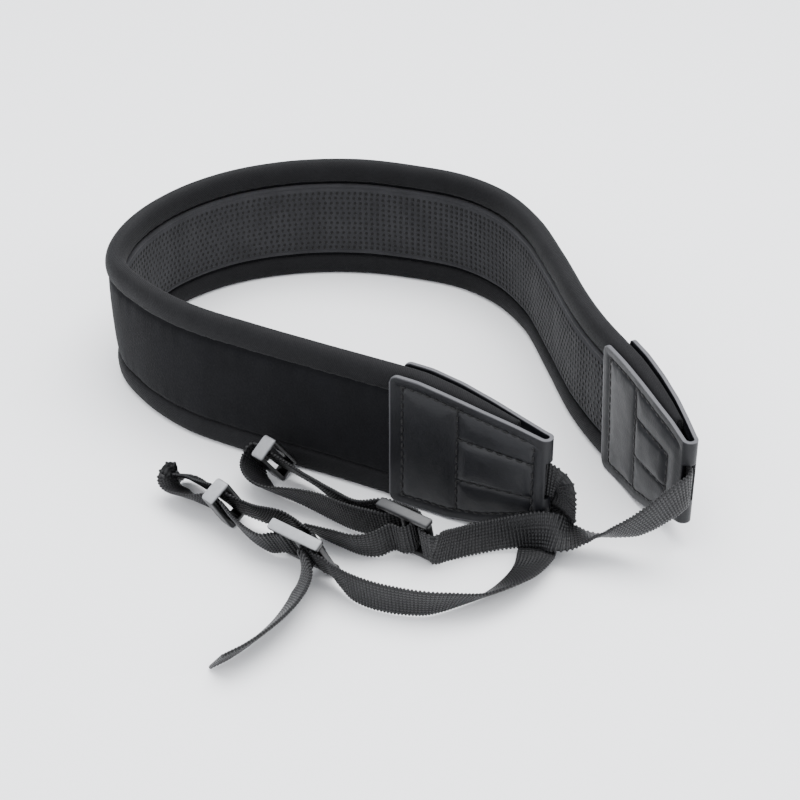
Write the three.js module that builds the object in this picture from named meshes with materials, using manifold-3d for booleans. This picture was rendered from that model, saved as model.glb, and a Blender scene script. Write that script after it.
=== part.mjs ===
// Camera neck strap: a padded neck band standing on its lower edge in an open C, two folded
// leather end caps, and two webbing straps, each with a three-bar buckle, a keeper and a lug loop.
// Millimetres, +Z up. The floor is z = 0, +X is to the right and +Y away from the open side.
import * as THREE from "three";
import { mergeVertices } from "three/addons/utils/BufferGeometryUtils.js";
import Module from "manifold-3d";

const wasm = await Module();
wasm.setup();

// ---------------------------------------------------------------- driving dimensions
const PAD = { height: 48.5, thickness: 7.3, step: 9 };
// The leather's lower and upper edges lie just inside the band's own edges.
const LEATHER = { thickness: 1.3, gap: 0.35, cornerRadius: 3, step: 4, aboveLow: 0.4, belowHigh: 0.2 };
const FOLD_TURNS = [0.25, 0.5, 0.75];
const CURVE_STEPS = 4;
const WEBBING = { width: 12.5, thickness: 1.2, bevel: 0.35, step: 3 };
const SLIDER = {
  length: 20,
  height: 17.6,
  rail: 4.4,
  bar: 2.4,
  webSlot: 13.6,
  centreBar: 2.4,
  endBar: 2.4,
  cornerRadius: 1.6,
  slotRadius: 0.6,
  railRadius: 0.9,
};
const KEEPER = { length: 5, height: 16.6, depth: 8.6, wall: 1.5, cornerRadius: 1.4, holeRadius: 0.6 };
const SLOT = { width: 13.4, depth: 2.2, reach: 7, ahead: 2.5 };

// ---------------------------------------------------------------- tables
// Middle surface of the band from cap tip to cap tip: plan position, inward lean of the top
// edge, height of the lower and upper edges, and thickness of what lies between the leathers.
const BAND = [
  { x: 44.5, y: -85.2, lean: 0.0, low: 9.5, high: 40.2, thick: 1.9 },
  { x: 36.4, y: -80.2, lean: 0.0, low: 5.6, high: 42.4, thick: 3.2 },
  { x: 27.2, y: -74.4, lean: 0.0, low: 2.2, high: 44.6, thick: 5.4 },
  { x: 17.5, y: -68.4, lean: 0.0, low: 0.4, high: 46.8, thick: 7.0 },
  { x: 8.0, y: -62.6, lean: 0.0, low: 0.1, high: 48.3, thick: 7.3 },
  { x: -1.0, y: -57.6, lean: 0.0, low: 0.0, high: 48.5, thick: 7.3 },
  { x: -25.2, y: -44.6, lean: 0.0, low: 0.0, high: 48.5, thick: 7.3 },
  { x: -50.2, y: -31.4, lean: 1.4, low: 0.0, high: 48.5, thick: 7.3 },
  { x: -72.0, y: -18.0, lean: 1.4, low: 0.0, high: 48.5, thick: 7.3 },
  { x: -88.0, y: -1.8, lean: 0.0, low: 0.0, high: 48.5, thick: 7.3 },
  { x: -99.4, y: 18.0, lean: -2.0, low: 0.0, high: 48.5, thick: 7.3 },
  { x: -99.2, y: 41.5, lean: 0.5, low: 0.0, high: 48.5, thick: 7.3 },
  { x: -88.0, y: 67.5, lean: 3.0, low: 0.0, high: 48.5, thick: 7.3 },
  { x: -67.5, y: 87.0, lean: 2.0, low: 0.0, high: 48.5, thick: 7.3 },
  { x: -43.0, y: 96.8, lean: 0.5, low: 0.0, high: 48.5, thick: 7.3 },
  { x: -17.0, y: 98.4, lean: 0.0, low: 0.0, high: 48.5, thick: 7.3 },
  { x: 5.3, y: 93.0, lean: 1.0, low: 0.0, high: 48.5, thick: 7.3 },
  { x: 24.6, y: 84.4, lean: 1.5, low: 0.0, high: 48.5, thick: 7.3 },
  { x: 39.0, y: 70.0, lean: 1.5, low: 0.0, high: 48.5, thick: 7.3 },
  { x: 49.0, y: 49.4, lean: 1.8, low: 0.0, high: 48.5, thick: 7.3 },
  { x: 55.7, y: 21.0, lean: 1.0, low: 0.0, high: 48.5, thick: 7.3 },
  { x: 61.7, y: -9.0, lean: 1.0, low: 0.0, high: 48.5, thick: 7.3 },
  { x: 66.6, y: -26.0, lean: 1.6, low: 0.0, high: 48.5, thick: 7.3 },
  { x: 71.8, y: -39.8, lean: 2.0, low: 0.0, high: 48.5, thick: 7.3 },
  { x: 76.3, y: -51.0, lean: 2.4, low: 0.2, high: 48.3, thick: 7.0 },
  { x: 80.0, y: -61.5, lean: 1.5, low: 1.0, high: 46.8, thick: 6.2 },
  { x: 83.4, y: -71.0, lean: 0.8, low: 3.2, high: 44.6, thick: 5.0 },
  { x: 86.2, y: -79.0, lean: 0.3, low: 6.4, high: 42.4, thick: 3.2 },
  { x: 88.6, y: -86.2, lean: 0.0, low: 9.5, high: 40.0, thick: 1.9 },
];

// Where each three-bar buckle and keeper stands: its middle, the way it points along the strap
// (turn, in degrees from +X), and how far its upper end leans towards the open side.
const SLIDERS = {
  near: { at: [-29.7, -99.9, 9.0], turn: -38.3, lean: 29 },
  far: { at: [2.5, -91.2, 9.2], turn: -38.0, lean: 15 },
};
const KEEPERS = {
  near: { at: [-55.6, -76.8, 9.2], turn: -46, lean: 30 },
  far: { at: [-41.6, -50.6, 9.0], turn: -44, lean: 36 },
};

// A strap's middle line, with the direction of its upper edge.
// x, y, z: middle of the webbing. ex, ey, ez: towards the edge that starts uppermost.
const NEAR_RUN = [
  { x: 38.6, y: -81.6, z: 24.8, ex: 0.00, ey: 0.00, ez: 1.00 },
  { x: 46.4, y: -86.4, z: 24.8, ex: 0.00, ey: 0.00, ez: 1.00 },
  { x: 49.4, y: -88.3, z: 24.0, ex: 0.20, ey: -0.30, ez: 0.93 },
  { x: 50.7, y: -88.5, z: 20.2, ex: 0.35, ey: -0.75, ez: 0.55 },
  { x: 50.6, y: -86.4, z: 14.4, ex: 0.50, ey: -0.80, ez: 0.25 },
  { x: 49.7, y: -81.2, z: 8.6, ex: 0.65, ey: -0.72, ez: 0.10 },
  { x: 47.2, y: -80.4, z: 4.2, ex: 0.90, ey: -0.42, ez: 0.10 },
  { x: 45.2, y: -82.4, z: 1.9, ex: 0.96, ey: -0.30, ez: 0.06 },
  { x: 43.1, y: -91.6, z: 1.7, ex: 1.03, ey: -0.18, ez: 0.11 },
  { x: 41.4, y: -99.5, z: 3.1, ex: 0.83, ey: -0.45, ez: 0.32 },
  { x: 37.4, y: -107.2, z: 3.8, ex: 0.6, ey: -0.65, ez: 0.45 },
  { x: 31.2, y: -114.6, z: 4.8, ex: 0.3, ey: -0.75, ez: 0.6 },
  { x: 23.8, y: -119.6, z: 5.0, ex: 0.05, ey: -0.75, ez: 0.66 },
  { x: 14.9, y: -123.2, z: 6.0, ex: 0.0, ey: -0.5, ez: 0.87 },
  { x: 7.7, y: -124.6, z: 6.5, ex: 0.0, ey: -0.3, ez: 0.95 },
  { x: -1.5, y: -123.2, z: 6.6, ex: 0.0, ey: -0.2, ez: 0.98 },
  { x: -9.0, y: -120.4, z: 6.6, ex: 0.0, ey: -0.2, ez: 0.98 },
  { x: -15.0, y: -116.4, z: 6.6, ex: -0.1, ey: -0.2, ez: 0.97 },
  { x: -19.2, y: -111.8, z: 7.0, ex: -0.25, ey: -0.3, ez: 0.92 },
];
const NEAR_FAR_STRAND = [{ x: -44.5, y: -82.8, z: 9.4, ex: -0.33, ey: -0.4, ez: 0.85 }];
const NEAR_LOOP = [
  { x: -63.4, y: -64.8, z: 7.4, ex: -0.32, ey: -0.6, ez: 0.73 },
  { x: -68.4, y: -58.4, z: 6.2, ex: -0.3, ey: -0.76, ez: 0.58 },
  { x: -72.4, y: -55.6, z: 5.4, ex: -0.45, ey: -0.7, ez: 0.52 },
  { x: -74.4, y: -57.8, z: 4.8, ex: -0.65, ey: -0.6, ez: 0.46 },
  { x: -73.2, y: -62.6, z: 4.6, ex: -0.62, ey: -0.62, ez: 0.5 },
  { x: -69.0, y: -67.2, z: 5.3, ex: -0.4, ey: -0.72, ez: 0.58 },
  { x: -64.4, y: -71.6, z: 6.4, ex: -0.34, ey: -0.6, ez: 0.73 },
];
const NEAR_RETURN = [
  { x: -51.2, y: -84.6, z: 6.8, ex: -0.33, ey: -0.4, ez: 0.85 },
  { x: -45.8, y: -91.2, z: 6.4, ex: -0.33, ey: -0.4, ez: 0.85 },
  { x: -41.4, y: -95.2, z: 7.0, ex: -0.32, ey: -0.4, ez: 0.85 },
];
const NEAR_TAIL = [
  { x: -29.6, y: -107.4, z: 6.7, ex: 0.1, ey: -0.4, ez: 0.9 },
  { x: -29.6, y: -113.2, z: 5.9, ex: 0.5, ey: -0.36, ez: 0.8 },
  { x: -31.2, y: -120.0, z: 5.2, ex: 0.55, ey: -0.34, ez: 0.76 },
  { x: -34.7, y: -128.4, z: 5.2, ex: 0.55, ey: -0.34, ez: 0.76 },
  { x: -40.5, y: -137.4, z: 5.2, ex: 0.55, ey: -0.34, ez: 0.76 },
  { x: -47.0, y: -145.0, z: 5.2, ex: 0.55, ey: -0.34, ez: 0.76 },
  { x: -52.4, y: -149.6, z: 5.2, ex: 0.55, ey: -0.34, ez: 0.76 },
];
const FAR_RUN = [
  { x: 87.6, y: -83.0, z: 24.7, ex: 0.0, ey: 0.0, ez: 1.0 },
  { x: 89.3, y: -88.4, z: 24.7, ex: 0.0, ey: 0.0, ez: 1.0 },
  { x: 88.6, y: -91.4, z: 24.4, ex: 0.0, ey: 0.0, ez: 1.0 },
  { x: 85.2, y: -94.2, z: 23.2, ex: 0.0, ey: 0.0, ez: 1.0 },
  { x: 81.1, y: -96.0, z: 20.8, ex: 0.0, ey: -0.1, ez: 1.0 },
  { x: 76.4, y: -97.2, z: 17.6, ex: 0.0, ey: -0.25, ez: 0.96 },
  { x: 71.4, y: -97.0, z: 14.0, ex: 0.0, ey: -0.45, ez: 0.9 },
  { x: 65.7, y: -95.2, z: 10.4, ex: 0.0, ey: -0.7, ez: 0.72 },
  { x: 60.2, y: -94.0, z: 8.9, ex: 0.0, ey: -0.86, ez: 0.5 },
  { x: 55.6, y: -93.9, z: 8.9, ex: 0.0, ey: -0.98, ez: 0.14 },
  { x: 50.8, y: -93.8, z: 9.2, ex: 0.0, ey: -0.9, ez: -0.4 },
  { x: 45.4, y: -91.6, z: 9.3, ex: 0.0, ey: -0.4, ez: -0.9 },
  { x: 38.3, y: -90.6, z: 8.4, ex: 0.0, ey: -0.05, ez: -1.0 },
  { x: 31.0, y: -90.6, z: 7.1, ex: 0.0, ey: 0.0, ez: -1.0 },
  { x: 22.5, y: -92.8, z: 6.7, ex: 0.0, ey: 0.0, ez: -1.0 },
  { x: 15.4, y: -96.6, z: 7.4, ex: 0.08, ey: 0.1, ez: -0.98 },
];
const FAR_FAR_STRAND = [
  { x: -12.4, y: -79.6, z: 7.6, ex: 0.2, ey: 0.25, ez: -0.95 },
  { x: -19.8, y: -71.6, z: 7.0, ex: 0.3, ey: 0.35, ez: -0.88 },
  { x: -29.4, y: -60.6, z: 7.2, ex: 0.45, ey: 0.45, ez: -0.77 },
];
const FAR_LOOP = [
  { x: -45.9, y: -46.2, z: 8.8, ex: 0.44, ey: 0.42, ez: -0.8 },
  { x: -47.9, y: -47.4, z: 7.6, ex: 0.55, ey: 0.44, ez: -0.7 },
  { x: -48.5, y: -51.0, z: 5.6, ex: 0.62, ey: 0.45, ez: -0.62 },
  { x: -47.2, y: -56.4, z: 5.2, ex: 0.65, ey: 0.5, ez: -0.55 },
  { x: -44.9, y: -60.8, z: 5.2, ex: 0.55, ey: 0.58, ez: -0.6 },
  { x: -41.4, y: -64.2, z: 5.3, ex: 0.4, ey: 0.62, ez: -0.66 },
  { x: -36.3, y: -67.0, z: 5.8, ex: 0.28, ey: 0.55, ez: -0.78 },
  { x: -31.2, y: -69.8, z: 6.1, ex: 0.2, ey: 0.45, ez: -0.86 },
  { x: -24.6, y: -74.4, z: 6.6, ex: 0.16, ey: 0.3, ez: -0.94 },
  { x: -16.0, y: -81.6, z: 7.4, ex: 0.16, ey: 0.22, ez: -0.96 },
];
const FAR_TAIL = [
  { x: -7.6, y: -95.2, z: 6.6, ex: 0.18, ey: 0.25, ez: -0.95 },
  { x: -13.2, y: -94.6, z: 6.0, ex: 0.2, ey: 0.4, ez: -0.9 },
  { x: -20.6, y: -90.4, z: 5.6, ex: 0.2, ey: 0.5, ez: -0.84 },
  { x: -27.4, y: -86.0, z: 5.0, ex: 0.2, ey: 0.62, ez: -0.75 },
];

// How the webbing passes the three bars, seen along the bars: "along" points to the cap, "out" to
// the open side. The run comes over the front end bar and lies behind the other two. The returning
// end comes over the rear end bar, round the middle bar and out in front of it.
const RUN_THREAD = [
  { along: 11.5, out: 2.3 },
  { along: 8.9, out: 2.3 },
  { along: 7.4, out: 2.2 },
  { along: 6.3, out: 1.0 },
  { along: 5.4, out: -0.8 },
  { along: 4.2, out: -2.6 },
  { along: 2.6, out: -3.9 },
  { along: 0.0, out: -4.2 },
];
const LOOSE_BEHIND = [
  { along: -5.0, out: -5.0 },
  { along: -10.5, out: -5.4 },
];
const CLOSE_BEHIND = [
  { along: -5.0, out: -3.8 },
  { along: -10.5, out: -3.0 },
];
const RETURN_THREAD = [
  { along: -8.8, out: 2.3 },
  { along: -6.3, out: 1.5 },
  { along: -4.3, out: -0.3 },
  { along: -2.4, out: -1.9 },
  { along: 0.0, out: -2.2 },
  { along: 2.4, out: -1.7 },
  { along: 3.1, out: 0.4 },
  { along: 2.9, out: 2.6 },
];
const TAIL_DOWN = [{ along: 3.4, out: 4.8 }];
const TAIL_BACK = [
  { along: 1.2, out: 4.3 },
  { along: -2.5, out: 4.7 },
];
const KEEPER_PAIR = { far: -1.6, near: 1.6, alone: 0 };

// ---------------------------------------------------------------- surfaces
const UP = new THREE.Vector3(0, 0, 1);

// A closed body through rings of equally many points, with flat ends.
function loft(rings, outline) {
  const count = rings[0].length;
  const positions = rings.flat().flatMap((p) => [p.x, p.y, p.z]);
  const index = [];
  for (let r = 0; r + 1 < rings.length; r++) {
    for (let i = 0; i < count; i++) {
      const a = r * count + i;
      const b = r * count + ((i + 1) % count);
      index.push(a, b, b + count, a, b + count, a + count);
    }
  }
  const last = (rings.length - 1) * count;
  for (const [a, b, c] of THREE.ShapeUtils.triangulateShape(outline, [])) {
    index.push(c, b, a, last + a, last + b, last + c);
  }
  const body = new THREE.BufferGeometry();
  body.setAttribute("position", new THREE.Float32BufferAttribute(positions, 3));
  body.setIndex(index);
  return body;
}

function solidOf(body) {
  const bare = body.index ? body.toNonIndexed() : body.clone();
  bare.deleteAttribute("normal");
  bare.deleteAttribute("uv");
  const merged = mergeVertices(bare, 1e-4);
  const mesh = new wasm.Mesh({
    numProp: 3,
    vertProperties: new Float32Array(merged.attributes.position.array),
    triVerts: new Uint32Array(merged.index.array),
  });
  return new wasm.Manifold(mesh);
}

function bodyOf(solid) {
  const { vertProperties, triVerts, numProp } = solid.getMesh();
  const positions = [];
  for (let i = 0; i < vertProperties.length; i += numProp) {
    positions.push(vertProperties[i], vertProperties[i + 1], vertProperties[i + 2]);
  }
  const body = new THREE.BufferGeometry();
  body.setAttribute("position", new THREE.Float32BufferAttribute(positions, 3));
  body.setIndex([...triVerts]);
  return body;
}

// Reads a table's columns at any place along it, on one smooth curve a column.
function smoothTable(rows) {
  const names = Object.keys(rows[0]);
  const curve = new THREE.CatmullRomCurve3(
    rows.map((row) => new THREE.Vector3(row.x, row.y, row.z ?? 0)),
    false,
    "centripetal",
  );
  const others = names.filter((name) => !["x", "y", "z"].includes(name));
  return (place) => {
    const t = Math.min(Math.max(place, 0), 1) * (rows.length - 1);
    const i = Math.min(Math.floor(t), rows.length - 2);
    const f = t - i;
    const at = curve.getPoint(t / (rows.length - 1));
    const read = { x: at.x, y: at.y, z: at.z };
    for (const name of others) {
      read[name] = THREE.MathUtils.lerp(rows[i][name], rows[i + 1][name], f);
    }
    read.tangent = curve.getTangent(t / (rows.length - 1));
    return read;
  };
}

// Even steps between two rows of a table.
function places(rows, step, from = 0, to = rows.length - 1) {
  const found = [];
  for (let i = from; i < to; i++) {
    const length = Math.hypot(
      rows[i + 1].x - rows[i].x,
      rows[i + 1].y - rows[i].y,
      (rows[i + 1].z ?? 0) - (rows[i].z ?? 0),
    );
    const count = Math.max(1, Math.round(length / step));
    for (let k = 0; k < count; k++) found.push((i + k / count) / (rows.length - 1));
  }
  found.push(to / (rows.length - 1));
  return found;
}

// ---------------------------------------------------------------- the band
const bandAt = smoothTable(BAND);

function outwardOf(section) {
  return new THREE.Vector3(-section.tangent.y, section.tangent.x, 0).normalize();
}

// A point of the band: "across" is measured outwards from its middle surface at the full
// thickness, "rise" from the lower edge at the full height.
function bandPoint(section, across, rise) {
  const out = outwardOf(section);
  const level = rise / PAD.height;
  const z = THREE.MathUtils.lerp(section.low, section.high, level);
  const inward = section.lean * (level - 0.5);
  return new THREE.Vector3(section.x, section.y, 0)
    .addScaledVector(out, across * (section.thick / PAD.thickness) - inward)
    .setZ(z);
}

function bandBody(profile, from, to) {
  const outline = profile.map(([across, rise]) => new THREE.Vector2(across, rise));
  const rings = places(BAND, PAD.step, from, to).map((place) => {
    const section = bandAt(place);
    return profile.map(([across, rise]) => bandPoint(section, across, rise));
  });
  return loft(rings, outline);
}

// Outlines across the band, as [across, rise]: the lower binding is folded round the padding.
const BINDING = [
  [-2.4, 8.0],
  [-3.3, 6.9],
  [-3.65, 4.5],
  [-3.4, 2.0],
  [-2.4, 0.5],
  [-1.3, 0.0],
  [1.3, 0.0],
  [2.4, 0.5],
  [3.4, 2.0],
  [3.65, 4.5],
  [3.3, 6.9],
  [2.4, 8.0],
  [2.15, 8.0],
  [2.15, 2.4],
  [1.2, 1.3],
  [-1.2, 1.3],
  [-2.15, 2.4],
  [-2.15, 8.0],
];
const PADDING_HALF = [
  [1.0, 1.7],
  [1.8, 2.6],
  [1.8, 8.2],
  [2.6, 9.0],
  [3.1, 13.0],
  [3.3, 24.25],
];
const LINING = { inner: -1.5, face: -2.9, edge: -2.4, rise: 9.2, bevel: 0.5 };

const turnedOver = ([across, rise]) => [across, PAD.height - rise];
const bindingTop = BINDING.map(turnedOver).reverse();
const padding = [
  ...PADDING_HALF,
  ...PADDING_HALF.slice(0, -1).map(turnedOver).reverse(),
  [-1.0, PAD.height - 1.7],
  [-1.8, PAD.height - 2.6],
  [-1.8, PAD.height - 8.2],
  [-1.2, PAD.height - 8.7],
  [-1.2, 8.7],
  [-1.8, 8.2],
  [-1.8, 2.6],
  [-1.0, 1.7],
];
const lining = [
  [LINING.inner, LINING.rise],
  [LINING.inner, PAD.height - LINING.rise],
  [LINING.edge, PAD.height - LINING.rise],
  [LINING.face, PAD.height - LINING.rise - LINING.bevel],
  [LINING.face, LINING.rise + LINING.bevel],
  [LINING.edge, LINING.rise],
];

// ---------------------------------------------------------------- the leather end caps
// One piece of leather folded round the end of the band: rows run from the open edge of the
// outer panel round the fold to the open edge of the inner panel.
const LEATHER_EDGE = [
  new THREE.Vector2(0, 0),
  new THREE.Vector2(1, 0),
  new THREE.Vector2(1, 1),
  new THREE.Vector2(0, 1),
];

function capBody(tipRow, openRow) {
  const side = LEATHER.thickness / 2 + LEATHER.gap;
  const tip = bandAt(tipRow / (BAND.length - 1));
  const start = bandAt(openRow / (BAND.length - 1));
  const [fromRow, toRow] = [Math.min(tipRow, openRow), Math.max(tipRow, openRow)];
  const panel = places(BAND, LEATHER.step, fromRow, toRow);
  if (tipRow < openRow) panel.reverse();
  const rings = [];
  const addRing = (section, at, out) => {
    const fromOpen = Math.hypot(section.x - start.x, section.y - start.y);
    const cut = cornerCut(Math.min(fromOpen, LEATHER.cornerRadius), LEATHER.cornerRadius);
    const low = section.low + LEATHER.aboveLow + cut;
    const high = section.high - LEATHER.belowHigh - cut;
    const half = LEATHER.thickness / 2;
    const ring = [
      [-half, low],
      [half, low],
      [half, high],
      [-half, high],
    ].map(([offset, z]) => {
      const inward = section.lean * ((z - section.low) / (section.high - section.low) - 0.5);
      const lean = outwardOf(section).multiplyScalar(-inward);
      return at.clone().addScaledVector(out, offset).add(lean).setZ(z);
    });
    rings.push(ring);
  };
  const panelRings = (list, sign) => {
    for (const place of list) {
      const section = bandAt(place);
      const out = outwardOf(section).multiplyScalar(sign);
      const offset = section.thick / 2 + side;
      const at = new THREE.Vector3(section.x, section.y, 0).addScaledVector(out, offset);
      addRing(section, at, out);
    }
  };
  panelRings(panel, 1);
  const ahead = tip.tangent.clone().setZ(0).normalize();
  if (tipRow < openRow) ahead.negate();
  const reach = tip.thick / 2 + side;
  for (const turn of FOLD_TURNS) {
    const out = outwardOf(tip)
      .multiplyScalar(Math.cos(turn * Math.PI))
      .addScaledVector(ahead, Math.sin(turn * Math.PI));
    addRing(tip, new THREE.Vector3(tip.x, tip.y, 0).addScaledVector(out, reach), out);
  }
  panelRings(panel.reverse(), -1);
  const slot = new THREE.BoxGeometry(SLOT.reach, SLOT.depth, SLOT.width);
  slot.rotateZ(Math.atan2(ahead.y, ahead.x));
  slot.translate(
    tip.x + ahead.x * SLOT.ahead,
    tip.y + ahead.y * SLOT.ahead,
    (tip.low + tip.high) / 2,
  );
  return bodyOf(solidOf(facingOut(loft(rings, LEATHER_EDGE))).subtract(solidOf(slot)));
}

function cornerCut(fromOpen, radius) {
  const along = 1 - fromOpen / radius;
  return radius * (1 - Math.sqrt(Math.max(0, 1 - along * along)));
}

function facingOut(body) {
  const probe = solidOf(body);
  if (probe.volume() >= 0) return body;
  const index = body.getIndex().array;
  for (let i = 0; i < index.length; i += 3) {
    [index[i + 1], index[i + 2]] = [index[i + 2], index[i + 1]];
  }
  return body;
}

// ---------------------------------------------------------------- buckles and keepers
// A frame on a strap: "along" towards the cap, "out" to the open side, "edge" up its width.
function fitting({ at, turn, lean }) {
  const yaw = THREE.MathUtils.degToRad(turn);
  const along = new THREE.Vector3(Math.cos(yaw), Math.sin(yaw), 0);
  const tilt = THREE.MathUtils.degToRad(lean);
  const level = new THREE.Vector3(along.y, -along.x, 0);
  const edge = UP.clone().multiplyScalar(Math.cos(tilt)).addScaledVector(level, Math.sin(tilt));
  const out = new THREE.Vector3().crossVectors(along, edge);
  return { at: new THREE.Vector3(...at), along, out, edge };
}

function strapRow(frame, { along, out }, sign) {
  const at = frame.at
    .clone()
    .addScaledVector(frame.along, along)
    .addScaledVector(frame.out, out);
  const e = frame.edge.clone().multiplyScalar(sign);
  return { x: at.x, y: at.y, z: at.z, ex: e.x, ey: e.y, ez: e.z };
}

function inFrame(mesh, frame) {
  const matrix = new THREE.Matrix4().makeBasis(frame.along, frame.edge, frame.out);
  mesh.quaternion.setFromRotationMatrix(matrix);
  mesh.position.copy(frame.at);
  return mesh;
}

function roundedRect(width, height, radius, Kind = THREE.Shape) {
  const shape = new Kind();
  const [w, h, r] = [width / 2, height / 2, radius];
  shape.moveTo(-w + r, -h);
  shape.lineTo(w - r, -h);
  shape.absarc(w - r, -h + r, r, -Math.PI / 2, 0, false);
  shape.lineTo(w, h - r);
  shape.absarc(w - r, h - r, r, 0, Math.PI / 2, false);
  shape.lineTo(-w + r, h);
  shape.absarc(-w + r, h - r, r, Math.PI / 2, Math.PI, false);
  shape.lineTo(-w, -h + r);
  shape.absarc(-w + r, -h + r, r, Math.PI, 1.5 * Math.PI, false);
  return shape;
}

function slab(shape, depth) {
  const body = new THREE.ExtrudeGeometry(shape, { depth, bevelEnabled: false, curveSegments: CURVE_STEPS });
  body.translate(0, 0, -depth / 2);
  return body;
}

// Three bars between two side rails. Local x runs along the strap, y along the bars.
function sliderBody() {
  const { length, height, rail, bar, webSlot, centreBar, endBar } = SLIDER;
  const plate = roundedRect(length, height, SLIDER.cornerRadius);
  const slotLength = (length - centreBar - 2 * endBar) / 2;
  const middle = (centreBar + slotLength) / 2;
  for (const side of [-1, 1]) {
    const hole = roundedRect(slotLength, webSlot, SLIDER.slotRadius, THREE.Path);
    const moved = hole.getPoints(CURVE_STEPS).map((p) => p.clone().setX(p.x + side * middle));
    plate.holes.push(new THREE.Path(moved));
  }
  let solid = solidOf(slab(plate, bar));
  const railWidth = (height - webSlot) / 2;
  for (const side of [-1, 1]) {
    const railBody = slab(roundedRect(length, railWidth, SLIDER.railRadius), rail);
    railBody.translate(0, side * (webSlot + railWidth) / 2, 0);
    solid = solid.add(solidOf(railBody));
  }
  return bodyOf(solid);
}

// A plain rectangular ring. Local x is its length along the strap, y its long side.
function keeperBody() {
  const { length, height, depth, wall } = KEEPER;
  const ring = roundedRect(depth, height, KEEPER.cornerRadius);
  const hole = roundedRect(depth - 2 * wall, height - 2 * wall, KEEPER.holeRadius, THREE.Path);
  ring.holes.push(hole);
  const body = slab(ring, length);
  body.rotateY(Math.PI / 2);
  return body;
}

// ---------------------------------------------------------------- webbing
function webbingBody(rows) {
  const read = smoothTable(rows);
  const { width, thickness, bevel } = WEBBING;
  const [w, t] = [width / 2, thickness / 2];
  const profile = [
    [-t, -w + bevel],
    [0, -w],
    [t, -w + bevel],
    [t, w - bevel],
    [0, w],
    [-t, w - bevel],
  ];
  const rings = places(rows, WEBBING.step).map((place) => {
    const row = read(place);
    const edge = new THREE.Vector3(row.ex, row.ey, row.ez);
    edge.addScaledVector(row.tangent, -edge.dot(row.tangent)).normalize();
    const face = new THREE.Vector3().crossVectors(row.tangent, edge);
    const at = new THREE.Vector3(row.x, row.y, row.z);
    return profile.map(([offset, up]) =>
      at.clone().addScaledVector(face, offset).addScaledVector(edge, up),
    );
  });
  const outline = profile.map(([x, y]) => new THREE.Vector2(x, y));
  return facingOut(loft(rings, outline));
}

function strapRows(slider, keeper, sign, table) {
  const thread = (list) => list.map((row) => strapRow(slider, row, sign));
  const inKeeper = (out, way) =>
    [1, 0, -1].map((end) => strapRow(keeper, { along: end * way * KEEPER.length / 2, out }, sign));
  return [
    ...table.run,
    ...thread(RUN_THREAD),
    ...thread(table.behind),
    ...table.farStrand,
    ...inKeeper(table.farInKeeper, 1),
    ...table.loop,
    ...(table.nearInKeeper === null ? [] : inKeeper(table.nearInKeeper, -1)),
    ...table.back,
    ...thread(RETURN_THREAD),
    ...thread(table.turn),
    ...table.tail,
  ];
}

const nearSlider = fitting(SLIDERS.near);
const farSlider = fitting(SLIDERS.far);
const nearKeeper = fitting(KEEPERS.near);
const farKeeper = fitting(KEEPERS.far);

const nearStrap = strapRows(nearSlider, nearKeeper, 1, {
  run: NEAR_RUN,
  behind: LOOSE_BEHIND,
  farStrand: NEAR_FAR_STRAND,
  farInKeeper: KEEPER_PAIR.far,
  loop: NEAR_LOOP,
  nearInKeeper: KEEPER_PAIR.near,
  back: NEAR_RETURN,
  turn: TAIL_DOWN,
  tail: NEAR_TAIL,
});
const farStrap = strapRows(farSlider, farKeeper, -1, {
  run: FAR_RUN,
  behind: CLOSE_BEHIND,
  farStrand: FAR_FAR_STRAND,
  farInKeeper: KEEPER_PAIR.alone,
  loop: FAR_LOOP,
  nearInKeeper: null,
  back: [],
  turn: TAIL_BACK,
  tail: FAR_TAIL,
});

// ---------------------------------------------------------------- materials
const finish = (color, roughness, metalness = 0) =>
  new THREE.MeshStandardMaterial({ color, roughness, metalness });
const NEOPRENE = finish(0x25262a, 0.9);
const GRIP = finish(0x2c2c30, 0.85);
const BINDING_CLOTH = finish(0x1f1f23, 0.9);
const SMOOTH_LEATHER = finish(0x2b2c31, 0.45);
const NYLON = finish(0x141416, 0.7);
const PLASTIC = finish(0x1b1b1d, 0.35);

const strap = new THREE.Group();
function add(name, body, material) {
  const mesh = new THREE.Mesh(body, material);
  mesh.name = name;
  strap.add(mesh);
  return mesh;
}

const END = BAND.length - 1;
const PAD_ENDS = [1, END - 1];
const LINING_ENDS = [3, END - 3];
const CAP_OPEN = 5;
add("pad_core", facingOut(bandBody(padding, ...PAD_ENDS)), NEOPRENE);
add("grip_lining", facingOut(bandBody(lining, ...LINING_ENDS)), GRIP);
add("binding_top", facingOut(bandBody(bindingTop, ...PAD_ENDS)), BINDING_CLOTH);
add("binding_bottom", facingOut(bandBody(BINDING, ...PAD_ENDS)), BINDING_CLOTH);
add("leather_cap_near", capBody(0, CAP_OPEN), SMOOTH_LEATHER);
add("leather_cap_far", capBody(END, END - CAP_OPEN), SMOOTH_LEATHER);
add("webbing_near", webbingBody(nearStrap), NYLON);
add("webbing_far", webbingBody(farStrap), NYLON);
inFrame(add("slider_near", sliderBody(), PLASTIC), nearSlider);
inFrame(add("slider_far", sliderBody(), PLASTIC), farSlider);
inFrame(add("keeper_near", keeperBody(), PLASTIC), nearKeeper);
inFrame(add("keeper_far", keeperBody(), PLASTIC), farKeeper);

const bounds = new THREE.Box3().setFromObject(strap, true);
const middle = bounds.getCenter(new THREE.Vector3());
strap.position.set(-middle.x, -middle.y, -bounds.min.z);

export default strap;
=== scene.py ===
"""Looks of the camera neck strap.

A padded neck band stands on its lower edge in an open curve. Its ends are folded into leather, and each
end carries a ribbed webbing strap with a three-bar buckle, a keeper and a loop for the camera's lug.
Lengths in the tables are millimetres in the strap maker's own layout; meshes are metres in the row frame.
"""

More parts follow.
